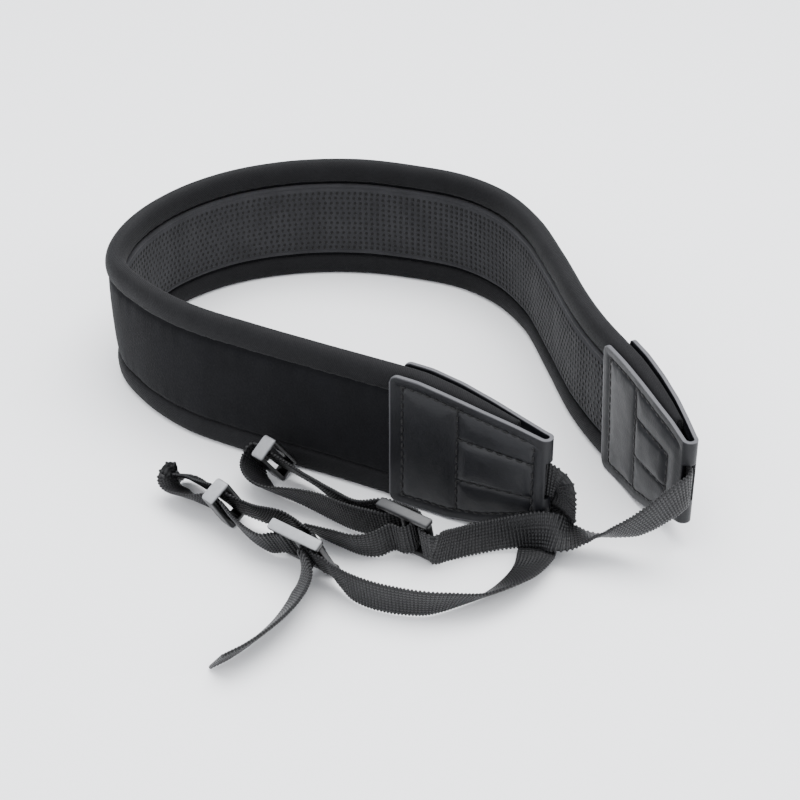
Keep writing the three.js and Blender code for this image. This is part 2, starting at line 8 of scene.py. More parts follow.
from __future__ import annotations
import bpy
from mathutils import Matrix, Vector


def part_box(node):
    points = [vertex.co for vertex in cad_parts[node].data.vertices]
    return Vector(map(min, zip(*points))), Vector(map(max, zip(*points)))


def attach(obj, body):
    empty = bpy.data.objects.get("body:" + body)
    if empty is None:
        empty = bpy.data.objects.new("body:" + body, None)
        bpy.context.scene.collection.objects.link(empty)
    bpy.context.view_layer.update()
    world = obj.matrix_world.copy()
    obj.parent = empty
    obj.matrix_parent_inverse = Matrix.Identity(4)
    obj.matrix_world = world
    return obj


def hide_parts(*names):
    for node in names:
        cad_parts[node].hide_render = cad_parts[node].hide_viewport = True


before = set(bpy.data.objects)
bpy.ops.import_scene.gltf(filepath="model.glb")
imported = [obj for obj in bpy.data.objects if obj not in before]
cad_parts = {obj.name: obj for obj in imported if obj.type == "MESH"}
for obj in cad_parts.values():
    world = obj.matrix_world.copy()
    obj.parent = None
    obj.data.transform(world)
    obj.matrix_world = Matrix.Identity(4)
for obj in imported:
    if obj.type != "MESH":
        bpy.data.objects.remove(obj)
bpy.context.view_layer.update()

import logging
import math
from dataclasses import dataclass, field
from enum import Enum
from typing import Sequence

import bmesh
import bpy
import numpy as np
from mathutils import Matrix, Vector

log = logging.getLogger("strap")
MM = 0.001
BODY = "root"
UP = np.array([0.0, 0.0, 1.0])
Points = np.ndarray
Faces = Sequence[Sequence[int]]
FaceList = list[tuple[int, ...]]
Colour = tuple[float, float, float]
Row = tuple[float, float, float, float, float, float]


class Side(Enum):
    """Which end of the neck band a leather end, strap or buckle belongs to."""

    NEAR = "near"
    FAR = "far"


# ------------------------------------------------------------------ small maths


def unit(v: Points) -> Points:
    """The vectors at length one."""
    return v / np.maximum(np.linalg.norm(v, axis=-1, keepdims=True), 1e-12)


def ripple(s: Points, pitch: float, seed: float) -> Points:
    """An uneven wave between about -1 and 1 along s, with no repeat that the eye finds."""
    k = 2 * math.pi / pitch
    a = np.sin(k * s + seed) * np.sin(0.37 * k * s + 2.1 * seed)
    b = 0.6 * np.sin(1.73 * k * s + 1.3 * seed) + 0.4 * np.sin(0.61 * k * s + 4.7 * seed)
    return 0.55 * a + 0.45 * b


def smooth(values: Points, reach: int) -> Points:
    """Rows averaged over their neighbours, ends kept.

    Args:
        values: one row for each step along a line.
        reach: how many rows to each side count.

    Returns:
        The averaged rows.
    """
    if reach < 1:
        return values
    padded = np.concatenate([np.repeat(values[:1], reach, 0), values, np.repeat(values[-1:], reach, 0)])
    kernel = np.hanning(2 * reach + 3)[1:-1]
    kernel /= kernel.sum()
    columns = [np.convolve(padded[:, k], kernel, mode="valid") for k in range(values.shape[1])]
    return np.stack(columns, 1)


@dataclass(frozen=True)
class Route:
    """A smooth line through a table's rows, with further columns read along it.

    Args:
        knots: the rows' points.
        columns: what else each row holds.
    """

    knots: Points
    columns: Points

    def at(self, row: Points) -> tuple[Points, Points]:
        """Reads the line at row numbers with fractions.

        Args:
            row: places along the table, from 0 to its last row.

        Returns:
            The points, and the other columns.
        """
        last = len(self.knots) - 1
        row = np.clip(np.asarray(row, float), 0, last)
        i = np.minimum(row.astype(int), last - 1)
        w = (row - i)[:, None]
        ends = [2 * self.knots[0] - self.knots[1], 2 * self.knots[-1] - self.knots[-2]]
        p = np.concatenate([ends[:1], self.knots, ends[1:]])
        p0, p1, p2, p3 = p[i], p[i + 1], p[i + 2], p[i + 3]
        d0, d1, d2 = (
            np.maximum(np.sqrt(np.linalg.norm(b - a, axis=1, keepdims=True)), 1e-4)
            for a, b in ((p0, p1), (p1, p2), (p2, p3))
        )
        t1 = ((p1 - p0) / d0 - (p2 - p0) / (d0 + d1) + (p2 - p1) / d1) * d1
        t2 = ((p2 - p1) / d1 - (p3 - p1) / (d1 + d2) + (p3 - p2) / d2) * d1
        c2 = -3 * p1 + 3 * p2 - 2 * t1 - t2
        c3 = 2 * p1 - 2 * p2 + t1 + t2
        points = p1 + t1 * w + c2 * w**2 + c3 * w**3
        return points, self.columns[i] * (1 - w) + self.columns[i + 1] * w

    def even(self, step: float, start: float = 0.0, stop: float | None = None) -> Points:
        """Row numbers at even steps along the line.

        Args:
            step: the wanted distance between them.
            start: the first row number.
            stop: the last row number, or the table's end.

        Returns:
            Row numbers with fractions, both ends included.
        """
        stop = len(self.knots) - 1 if stop is None else stop
        fine = np.linspace(start, stop, 4000)
        points, _ = self.at(fine)
        length = np.concatenate([[0], np.cumsum(np.linalg.norm(np.diff(points, axis=0), axis=1))])
        count = max(2, int(round(length[-1] / step)) + 1)
        return np.interp(np.linspace(0, length[-1], count), length, fine)


# ------------------------------------------------------------------ meshes


def new_object(name: str, mesh: bpy.types.Mesh) -> bpy.types.Object:
    """A mesh in the scene as an object at the origin."""
    piece = bpy.data.objects.new(name, mesh)
    bpy.context.scene.collection.objects.link(piece)
    return piece


def mesh_of(name: str, points: Points, faces: Faces, soft: bool = True) -> bpy.types.Mesh:
    """A mesh from points in metres and faces.

    Args:
        name: the mesh's name.
        points: its corners.
        faces: corner numbers of each face.
        soft: whether its faces are shaded smooth.

    Returns:
        The mesh.
    """
    mesh = bpy.data.meshes.new(name)
    mesh.from_pydata([tuple(p) for p in points], [], [tuple(f) for f in faces])
    mesh.validate()
    mesh.polygons.foreach_set("use_smooth", [soft] * len(mesh.polygons))
    mesh.update()
    return mesh


def tube(rings: Points, capped: bool = True) -> tuple[Points, FaceList, Points]:
    """A closed skin through rings of equally many points.

    Args:
        rings: ring by ring, point by point.
        capped: whether both ends are closed with a face.

    Returns:
        Points, faces, and for each point its ring and place as numbers from 0 to 1.
    """
    n, m, _ = rings.shape
    faces: FaceList = []
    for r in range(n - 1):
        for i in range(m):
            j = (i + 1) % m
            faces.append((r * m + i, r * m + j, (r + 1) * m + j, (r + 1) * m + i))
    if capped:
        faces.append(tuple(range(m - 1, -1, -1)))
        faces.append(tuple((n - 1) * m + i for i in range(m)))
    u, v = np.meshgrid(np.linspace(0, 1, n), np.linspace(0, 1, m), indexing="ij")
    return rings.reshape(-1, 3), faces, np.stack([u.ravel(), v.ravel()], 1)


def face_outwards(mesh: bpy.types.Mesh) -> None:
    """Turns every face of a closed skin outwards."""
    work = bmesh.new()
    work.from_mesh(mesh)
    bmesh.ops.recalc_face_normals(work, faces=work.faces)
    work.to_mesh(mesh)
    work.free()


def set_uv(mesh: bpy.types.Mesh, uv: Points) -> None:
    """Gives the mesh a UV map from one pair of lengths a corner point."""
    layer = mesh.uv_layers.new(name="along")
    corner = np.empty(len(mesh.loops), int)
    mesh.loops.foreach_get("vertex_index", corner)
    layer.data.foreach_set("uv", np.asarray(uv, float)[corner].ravel())


def set_number(mesh: bpy.types.Mesh, name: str, values: Points) -> None:
    """Stores one number a point on the mesh."""
    data = mesh.attributes.new(name, "FLOAT", "POINT")
    data.data.foreach_set("value", np.asarray(values, float))


def set_vector(mesh: bpy.types.Mesh, name: str, values: Points) -> None:
    """Stores one vector a point on the mesh."""
    data = mesh.attributes.new(name, "FLOAT_VECTOR", "POINT")
    data.data.foreach_set("vector", np.asarray(values, float).ravel())


def finished(piece: bpy.types.Object) -> bpy.types.Object:
    """Bakes a piece's modifiers into a plain mesh of its own."""
    bpy.context.view_layer.update()
    depsgraph = bpy.context.evaluated_depsgraph_get()
    mesh = bpy.data.meshes.new_from_object(piece.evaluated_get(depsgraph), depsgraph=depsgraph)
    mesh.name = piece.name
    piece.modifiers.clear()
    piece.data = mesh
    return piece


def rounded_box(size: Sequence[float], bevel: float, segments: int = 3) -> tuple[Points, FaceList]:
    """A box with rounded edges, in millimetres round the origin.

    Args:
        size: its length, width and height.
        bevel: the edges' radius.
        segments: steps round each edge.

    Returns:
        Points and faces.
    """
    work = bmesh.new()
    bmesh.ops.create_cube(work, size=1.0, matrix=Matrix.Diagonal((*size, 1.0)))
    bmesh.ops.bevel(
        work, geom=list(work.edges), offset=bevel, segments=segments, profile=0.5, affect="EDGES"
    )
    work.verts.index_update()
    points = np.array([tuple(v.co) for v in work.verts])
    faces = [tuple(v.index for v in f.verts) for f in work.faces]
    work.free()
    return points, faces


def joined(shells: Sequence[tuple[Points, Faces]]) -> tuple[Points, FaceList]:
    """Several shells as one list of points and faces."""
    points: list[Points] = []
    faces: FaceList = []
    base = 0
    for p, f in shells:
        points.append(p)
        faces += [tuple(i + base for i in face) for face in f]
        base += len(p)
    return np.concatenate(points), faces


# ------------------------------------------------------------------ repeated pieces


class Repeater:
    """A Geometry Nodes tree that sets one small piece on each point of a mesh, turned to the path there."""

    def __init__(self, name: str) -> None:
        """Builds the tree.

        Args:
            name: the tree's name.
        """
        self.tree = bpy.data.node_groups.new(name, "GeometryNodeTree")
        face = self.tree.interface
        face.new_socket("Places", in_out="INPUT", socket_type="NodeSocketGeometry")
        sockets = {
            "Piece": "NodeSocketObject",
            "Finish": "NodeSocketMaterial",
            "Size": "NodeSocketFloat",
        }
        self.inputs = {
            key: face.new_socket(key, in_out="INPUT", socket_type=kind).identifier
            for key, kind in sockets.items()
        }
        face.new_socket("Result", in_out="OUTPUT", socket_type="NodeSocketGeometry")
        group_in = self._node("NodeGroupInput")
        group_out = self._node("NodeGroupOutput")
        along = self._attribute("along")
        normal = self._attribute("normal")
        turn = self._node("FunctionNodeAxesToRotation", primary_axis="X", secondary_axis="Z")
        self._link(along.outputs["Attribute"], turn.inputs["Primary Axis"])
        self._link(normal.outputs["Attribute"], turn.inputs["Secondary Axis"])
        info = self._node("GeometryNodeObjectInfo", transform_space="ORIGINAL")
        self._link(group_in.outputs["Piece"], info.inputs["Object"])
        place = self._node("GeometryNodeInstanceOnPoints")
        self._link(group_in.outputs["Places"], place.inputs["Points"])
        self._link(info.outputs["Geometry"], place.inputs["Instance"])
        self._link(turn.outputs["Rotation"], place.inputs["Rotation"])
        self._link(group_in.outputs["Size"], place.inputs["Scale"])
        real = self._node("GeometryNodeRealizeInstances")
        self._link(place.outputs["Instances"], real.inputs["Geometry"])
        dress = self._node("GeometryNodeSetMaterial")
        self._link(real.outputs["Geometry"], dress.inputs["Geometry"])
        self._link(group_in.outputs["Finish"], dress.inputs["Material"])
        self._link(dress.outputs["Geometry"], group_out.inputs["Result"])

    def _node(self, kind: str, **settings: object) -> bpy.types.Node:
        """A node of the tree with its settings."""
        node = self.tree.nodes.new(kind)
        for key, value in settings.items():
            setattr(node, key, value)
        return node

    def _attribute(self, name: str) -> bpy.types.Node:
        """A node that reads a stored vector."""
        node = self._node("GeometryNodeInputNamedAttribute", data_type="FLOAT_VECTOR")
        node.inputs["Name"].default_value = name
        return node

    def _link(self, a: bpy.types.NodeSocket, b: bpy.types.NodeSocket) -> None:
        """Joins two sockets."""
        self.tree.links.new(a, b)

    def lay(
        self,
        name: str,
        places: tuple[Points, Points, Points],
        small: tuple[Points, Faces],
        finish: bpy.types.Material,
        uv: Points | None = None,
    ) -> bpy.types.Object:
        """Lays a small piece at every place and returns the whole as one mesh.

        Args:
            name: the new piece's name.
            places: points, the direction along the path and the surface's normal, in the row frame.
            small: the small piece's points in metres and its faces, with x along the path and z out.
            finish: its material.
            uv: the small piece's own pattern lengths, if it has any.

        Returns:
            The finished piece.
        """
        points, along, normal = places
        spots = bpy.data.meshes.new(name + "_places")
        spots.from_pydata([tuple(p) for p in points], [], [])
        set_vector(spots, "along", along)
        set_vector(spots, "normal", normal)
        piece = new_object(name, spots)
        pattern_mesh = mesh_of(name + "_one", small[0], small[1])
        face_outwards(pattern_mesh)
        if uv is not None:
            set_uv(pattern_mesh, uv)
        pattern = bpy.data.objects.new(name + "_one", pattern_mesh)
        modifier = piece.modifiers.new("lay", "NODES")
        modifier.node_group = self.tree
        modifier[self.inputs["Piece"]] = pattern
        modifier[self.inputs["Finish"]] = finish
        modifier[self.inputs["Size"]] = 1.0
        finished(piece)
        bpy.data.objects.remove(pattern)
        piece.data.materials.clear()
        piece.data.materials.append(finish)
        piece.data.polygons.foreach_set("use_smooth", [True] * len(piece.data.polygons))
        piece.data.polygons.foreach_set("material_index", [0] * len(piece.data.polygons))
        return piece


# ------------------------------------------------------------------ shaders


class Wire:
    """A shader socket that sums, differences and products build nodes on."""

    def __init__(self, shader: "Shader", socket: bpy.types.NodeSocket) -> None:
        """Wraps one output socket."""
        self.shader = shader
        self.socket = socket

    def _math(self, operation: str, a: object, b: object) -> "Wire":
        """One Math node on two values."""
        return self.shader.node("ShaderNodeMath", {"operation": operation}, {0: a, 1: b})

    def __add__(self, other: object) -> "Wire":
        """self + other."""
        return self._math("ADD", self, other)

    __radd__ = __add__

    def __sub__(self, other: object) -> "Wire":
        """self - other."""
        return self._math("SUBTRACT", self, other)

    def __rsub__(self, other: object) -> "Wire":
        """other - self."""
        return self._math("SUBTRACT", other, self)

    def __mul__(self, other: object) -> "Wire":
        """self * other."""
        return self._math("MULTIPLY", self, other)

    __rmul__ = __mul__

    def sine(self) -> "Wire":
        """The sine of the value."""
        return self._math("SINE", self, 0.0)


class Shader:
    """A material under construction."""

    def __init__(self, name: str) -> None:
        """Starts a material with a Principled surface.

        Args:
            name: the material's name.
        """
        self.material = bpy.data.materials.new(name)
        self.material.use_nodes = True
        self.tree = self.material.node_tree
        self.surface = self.tree.nodes["Principled BSDF"]

    def node(
        self, kind: str, settings: dict[str, object], values: dict[object, object], out: object = 0
    ) -> Wire:
        """Makes any node.

        Args:
            kind: the node's type.
            settings: its properties, set first; a ramp's stops go under "stops".
            values: numbers, colours or wires for its inputs, by name or number.
            out: the output to return.

        Returns:
            The chosen output.
        """
        node = self.tree.nodes.new(kind)
        for key, value in settings.items():
            if key == "stops":
                ramp = node.color_ramp
                for k, (place, shade) in enumerate(value):
                    stop = ramp.elements[k] if k < 2 else ramp.elements.new(place)
                    stop.position = place
                    stop.color = (shade, shade, shade, 1.0)
            else:
                setattr(node, key, value)
        for key, value in values.items():
            if isinstance(value, Wire):
                self.tree.links.new(value.socket, node.inputs[key])
            else:
                node.inputs[key].default_value = value
        return Wire(self, node.outputs[out])

    def place(self) -> Wire:
        """Where on the piece, in metres."""
        return self.node("ShaderNodeTexCoord", {}, {}, "Object")

    def uv(self, axis: int) -> Wire:
        """One length of the piece's own pattern map."""
        split = self.node("ShaderNodeUVMap", {"uv_map": "along"}, {})
        return self.node("ShaderNodeSeparateXYZ", {}, {0: split}, axis)

    def number(self, name: str) -> Wire:
        """A number stored on the piece."""
        return self.node("ShaderNodeAttribute", {"attribute_name": name}, {}, "Fac")

    def noise(self, pitch: float, detail: float = 3.0, roughness: float = 0.55) -> Wire:
        """Cloudy variation of about this size in metres."""
        values = {"Vector": self.place(), "Scale": 1.0 / pitch, "Detail": detail, "Roughness": roughness}
        return self.node("ShaderNodeTexNoise", {}, values, "Fac")

    def cells(self, pitch: float) -> Wire:
        """Distance to the nearest of scattered points about this far apart."""
        values = {"Vector": self.place(), "Scale": 1.0 / pitch}
        return self.node("ShaderNodeTexVoronoi", {}, values, "Distance")

    def ramp(self, value: Wire, stops: Sequence[tuple[float, float]]) -> Wire:
        """The value read off a ramp."""
        return self.node("ShaderNodeValToRGB", {"stops": list(stops)}, {"Fac": value}, "Color")

    def mixed(self, factor: object, a: object, b: object) -> Wire:
        """A blend of two colours."""
        wire = self.node("ShaderNodeMix", {"data_type": "RGBA"}, {"Factor": factor}, 2)
        mix = wire.socket.node
        for slot_index, shade in ((6, a), (7, b)):
            if isinstance(shade, Wire):
                self.tree.links.new(shade.socket, mix.inputs[slot_index])
            else:
                mix.inputs[slot_index].default_value = (*shade, 1.0)
        return wire

    def colour(self, wire: Wire) -> None:
        """Sends a colour to the surface."""
        self.tree.links.new(wire.socket, self.surface.inputs["Base Color"])

    def rough(self, wire: Wire) -> None:
        """Sends a roughness to the surface."""
        self.tree.links.new(wire.socket, self.surface.inputs["Roughness"])

    def raise_by(self, height: Wire, depth: float, strength: float = 1.0) -> None:
        """Bumps the surface by a height between 0 and 1, depth metres at 1."""
        values = {"Height": height, "Distance": depth, "Strength": strength}
        bump = self.node("ShaderNodeBump", {}, values, "Normal")
        self.tree.links.new(bump.socket, self.surface.inputs["Normal"])

    def fixed(self, **values: float) -> None:
        """Sets the surface's own constants by name, with _ for a space."""
        for key, value in values.items():
            self.surface.inputs[key.replace("_", " ")].default_value = value


@dataclass(frozen=True)
class Finish:
    """What every material has.

    Args:
        name: the material's name.
        dark: its colour in hollows and between threads, which on yarn is painted shade.
        light: its colour on crowns, which on yarn is a painted highlight, and the painted highlight on the
            top faces of moulded plastic.
    """

    name: str
    dark: Colour
    light: Colour


@dataclass(frozen=True)
class Knit(Finish):
    """A matt knitted face, as on neoprene.

    Args:
        loop: the size of one loop in metres.
        sheen: how much the fibres catch the light.
    """

    loop: float = 0.0007
    sheen: float = 0.25

    def build(self) -> bpy.types.Material:
        """Makes the material."""
        s = Shader(self.name)
        clouds = s.noise(0.012, 4.0)
        fibre = s.noise(self.loop, 2.0)
        s.colour(s.mixed(clouds * 0.7 + fibre * 0.45 - 0.1, self.dark, self.light))
        s.rough(s.ramp(fibre, [(0.3, 0.78), (0.7, 0.95)]))
        s.raise_by(s.cells(self.loop) * 0.6 + fibre * 0.6 + clouds * 0.5, 0.00022, 0.55)
        s.fixed(Sheen_Weight=self.sheen, Sheen_Roughness=0.45, Specular_IOR_Level=0.1)
        return s.material


@dataclass(frozen=True)
class Twill(Finish):
    """Binding tape: fine slanted ribs round the roll.

    Args:
        pitch: the ribs' spacing in metres.
    """

    pitch: float = 0.0009

    def build(self) -> bpy.types.Material:
        """Makes the material."""
        s = Shader(self.name)
        k = 2 * math.pi / self.pitch
        slanted = ((s.uv(0) * k) + (s.uv(1) * (0.7 * k))).sine() * 0.5 + 0.5
        fibre = s.noise(0.0006, 2.0)
        worn = s.noise(0.009, 3.0)
        s.colour(s.mixed(slanted * 0.35 + worn * 0.6 + fibre * 0.25 - 0.1, self.dark, self.light))
        s.rough(s.ramp(fibre, [(0.3, 0.7), (0.7, 0.9)]))
        s.raise_by(slanted * 0.6 + fibre * 0.5 + worn * 0.4, 0.0002, 0.6)
        s.fixed(Sheen_Weight=0.035, Sheen_Roughness=0.4, Specular_IOR_Level=0.12)
        return s.material


@dataclass(frozen=True)
class Leather(Finish):
    """Smooth finished leather with a fine grain and paler cut edges.

    Args:
        edge: the colour of its cut edge.
    """

    edge: Colour

    def build(self) -> bpy.types.Material:
        """Makes the material."""
        s = Shader(self.name)
        patches = s.noise(0.014, 4.0)
        pores = s.cells(0.0006)
        creases = s.noise(0.003, 5.0, 0.65)
        body = s.mixed(patches * 0.8 + creases * 0.3 - 0.05, self.dark, self.light)
        s.colour(s.mixed(s.number("cut"), body, self.edge))
        s.rough(s.ramp(creases * 0.6 + patches * 0.4, [(0.3, 0.38), (0.7, 0.52)]))
        s.raise_by(pores * 0.35 + creases * 0.8 + patches * 0.5, 0.00016, 0.5)
        s.fixed(Coat_Weight=0.03, Coat_Roughness=0.3, Specular_IOR_Level=0.26)
        return s.material


@dataclass(frozen=True)
class Yarn(Finish):
    """Nylon yarn, with threads that run across each rib.

    Args:
        thread: the threads' spacing in metres.
        gloss: the roughness of the yarn.
    """

    thread: float = 0.0008
    gloss: float = 0.45

    def build(self) -> bpy.types.Material:
        """Makes the material."""
        s = Shader(self.name)
        threads = (s.uv(0) * (2 * math.pi / self.thread)).sine() * 0.5 + 0.5
        fibre = s.noise(0.0004, 2.0)
        worn = s.noise(0.006, 3.0)
        # painted highlight on the thread crowns and painted shade between the threads, mixed with random
        # tone from the fibre and worn noise
        s.colour(s.mixed(threads * 0.5 + fibre * 0.35 + worn * 0.3 - 0.1, self.dark, self.light))
        s.rough(s.ramp(fibre, [(0.3, self.gloss - 0.08), (0.7, self.gloss + 0.15)]))
        s.raise_by(threads * 0.9 + fibre * 0.3, 0.0002, 0.6)
        s.fixed(Sheen_Weight=0.01, Sheen_Roughness=0.35, Specular_IOR_Level=0.3)
        return s.material


@dataclass(frozen=True)
class Moulded(Finish):
    """Moulded plastic, satin, with fine mould texture; its light colour is a painted highlight on the top
    faces.
    """


    def build(self) -> bpy.types.Material:
        """Makes the material."""
        s = Shader(self.name)
        scuffs = s.noise(0.002, 5.0, 0.7)
        grain = s.noise(0.0003, 1.0)
        # painted highlight: faces marked on the mesh take the light colour, varied by the scuff noise
        top = s.number("rubbed") * (0.75 + 0.4 * scuffs)
        s.colour(s.mixed(top, self.dark, self.light))
        s.rough(s.ramp(scuffs, [(0.3, 0.26), (0.7, 0.42)]))
        s.raise_by(grain * 0.5 + scuffs * 0.4, 0.00005, 0.4)
        s.fixed(Coat_Weight=0.15, Coat_Roughness=0.2, Specular_IOR_Level=0.4)
        return s.material


@dataclass(frozen=True)
class Finishes:
    """Every material of the strap, built once."""

    neoprene: bpy.types.Material
    lining: bpy.types.Material
    binding: bpy.types.Material
    leather: bpy.types.Material
    webbing: bpy.types.Material
    thread: bpy.types.Material
    rubber: bpy.types.Material
    plastic: bpy.types.Material

    @classmethod
    def build(cls) -> "Finishes":
        """Makes all the materials."""
        return cls(
            neoprene=Knit(
                "neoprene", (0.0014, 0.0014, 0.0017), (0.0062, 0.0064, 0.0078), loop=0.0007, sheen=0.03
            ).build(),
            lining=Knit(
                "grip_lining", (0.012, 0.012, 0.013), (0.04, 0.04, 0.043), loop=0.0009, sheen=0.05
            ).build(),
            binding=Twill("edge_binding", (0.0028, 0.0028, 0.0031), (0.0105, 0.0105, 0.0116)).build(),
            leather=Leather(
                "leather", (0.0018, 0.0019, 0.0024), (0.0062, 0.0066, 0.0086), edge=(0.085, 0.085, 0.092)
            ).build(),
            # the yarns' light colours are painted highlights on the thread crowns and their dark colours
            # painted shade between threads
            webbing=Yarn(
                "webbing", (0.0006, 0.0006, 0.0007), (0.013, 0.013, 0.0142), thread=0.0012, gloss=0.4
            ).build(),
            thread=Yarn(
                "thread", (0.001, 0.001, 0.001), (0.004, 0.004, 0.0045), thread=0.0004, gloss=0.5
            ).build(),
            rubber=Yarn(
                "grip_rubber", (0.001, 0.001, 0.001), (0.003, 0.003, 0.0033), thread=0.001, gloss=0.65
            ).build(),
            # the plastic's light colour is the painted highlight on the tops of the buckles and keepers
            plastic=Moulded("buckle_plastic", (0.0035, 0.0035, 0.0038), (0.27, 0.275, 0.285)).build(),
        )


# ------------------------------------------------------------------ the layout


@dataclass(frozen=True)
class Layout:
    """Where the tables lie in the row frame, tied by the middle of one buckle.

    Args:
        anchor: that buckle's middle in the tables, in millimetres.
        node: the CAD node of that buckle.
    """

    anchor: tuple[float, float, float] = (-29.7, -99.9, 9.0)
    node: str = "slider_near"

    @property
    def shift(self) -> Points:
        """The tables' origin in the row frame, in metres."""
        low, high = (np.array(corner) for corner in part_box(self.node))
        return (low + high) / 2 - np.array(self.anchor) * MM

    def place(self, points: Points) -> Points:
        """Table points as points of the row frame."""
        return np.asarray(points) * MM + self.shift


@dataclass(frozen=True)
class Section:
    """The band cut across at each of several places.

    Args:
        middle: plan points of its middle surface.
        out: level directions to its outer side.
        along: level directions along it.
        lean: how far the upper edge leans inwards.
        low: height of its lower edge.
        high: height of its upper edge.
        thick: its thickness.
    """

    middle: Points
    out: Points
    along: Points
    lean: Points
    low: Points
    high: Points
    thick: Points


@dataclass(frozen=True)
class Band:
    """The neck band's run from one leather tip to the other, in millimetres.

    Args:
        height: its height where it is full.
        thickness: its thickness where it is full.
    """

    height: float = 48.5
    thickness: float = 7.3
    # x, y, inward lean of the top, lower edge, upper edge, thickness
    rows: tuple[tuple[float, ...], ...] = (
        (44.5, -85.2, 0.0, 9.5, 40.2, 1.9),
        (36.4, -80.2, 0.0, 5.6, 42.4, 3.2),
        (27.2, -74.4, 0.0, 2.2, 44.6, 5.4),
        (17.5, -68.4, 0.0, 0.4, 46.8, 7.0),
        (8.0, -62.6, 0.0, 0.1, 48.3, 7.3),
        (-1.0, -57.6, 0.0, 0.0, 48.5, 7.3),
        (-25.2, -44.6, 0.0, 0.0, 48.5, 7.3),
        (-50.2, -31.4, 1.4, 0.0, 48.5, 7.3),
        (-72.0, -18.0, 1.4, 0.0, 48.5, 7.3),
        (-88.0, -1.8, 0.0, 0.0, 48.5, 7.3),
        (-99.4, 18.0, -2.0, 0.0, 48.5, 7.3),
        (-99.2, 41.5, 0.5, 0.0, 48.5, 7.3),
        (-88.0, 67.5, 3.0, 0.0, 48.5, 7.3),
        (-67.5, 87.0, 2.0, 0.0, 48.5, 7.3),
        (-43.0, 96.8, 0.5, 0.0, 48.5, 7.3),
        (-17.0, 98.4, 0.0, 0.0, 48.5, 7.3),
        (5.3, 93.0, 1.0, 0.0, 48.5, 7.3),
        (24.6, 84.4, 1.5, 0.0, 48.5, 7.3),
        (39.0, 70.0, 1.5, 0.0, 48.5, 7.3),
        (49.0, 49.4, 1.8, 0.0, 48.5, 7.3),
        (55.7, 21.0, 1.0, 0.0, 48.5, 7.3),
        (61.7, -9.0, 1.0, 0.0, 48.5, 7.3),
        (66.6, -26.0, 1.6, 0.0, 48.5, 7.3),
        (71.8, -39.8, 2.0, 0.0, 48.5, 7.3),
        (76.3, -51.0, 2.4, 0.2, 48.3, 7.0),
        (80.0, -61.5, 1.5, 1.0, 46.8, 6.2),
        (83.4, -71.0, 0.8, 3.2, 44.6, 5.0),
        (86.2, -79.0, 0.3, 6.4, 42.4, 3.2),
        (88.6, -86.2, 0.0, 9.5, 40.0, 1.9),
    )

    @property
    def route(self) -> Route:
        """The band's middle line in plan."""
        table = np.array(self.rows)
        knots = np.concatenate([table[:, :2], np.zeros((len(table), 1))], 1)
        return Route(knots, table[:, 2:])

    @property
    def last(self) -> int:
        """The number of the last row."""
        return len(self.rows) - 1

    def section(self, row: Points) -> Section:
        """Cuts the band at row numbers."""
        points, columns = self.route.at(row)
        columns = smooth(columns, 2)
        ahead, _ = self.route.at(row + 0.01)
        behind, _ = self.route.at(row - 0.01)
        along = unit(ahead - behind)
        out = np.stack([-along[:, 1], along[:, 0], np.zeros(len(along))], 1)
        lean, low, high, thick = columns.T
        return Section(points, out, along, lean, low, high, thick)

    def points(self, cut: Section, across: Points, rise: Points) -> Points:
        """Points of the band, ring by ring.

        Args:
            cut: where it is cut.
            across: distances out from the middle surface at full thickness, one row a ring.
            rise: heights above the lower edge at full height, one row a ring.

        Returns:
            The points, in table millimetres.
        """
        level = rise / self.height
        z = cut.low[:, None] * (1 - level) + cut.high[:, None] * level
        push = across * (cut.thick / self.thickness)[:, None] - cut.lean[:, None] * (level - 0.5)
        flat = cut.middle[:, None, :] + cut.out[:, None, :] * push[..., None]
        flat[..., 2] = z
        return flat

    def lengths(self, row: Points) -> Points:
        """How far along the band each row number lies, in millimetres."""
        cut = self.section(row)
        steps = np.linalg.norm(np.diff(cut.middle, axis=0), axis=1)
        return np.concatenate([[0], np.cumsum(steps)])


def curved(corners: Sequence[tuple[float, float]], steps: int = 4) -> Points:
    """A smooth open outline through corner points."""
    table = np.array(corners, float)
    knots = np.concatenate([table, np.zeros((len(table), 1))], 1)
    route = Route(knots, np.zeros((len(table), 1)))
    points, _ = route.at(np.linspace(0, len(table) - 1, (len(table) - 1) * steps + 1))
    return points[:, :2]


# ------------------------------------------------------------------ the neck band


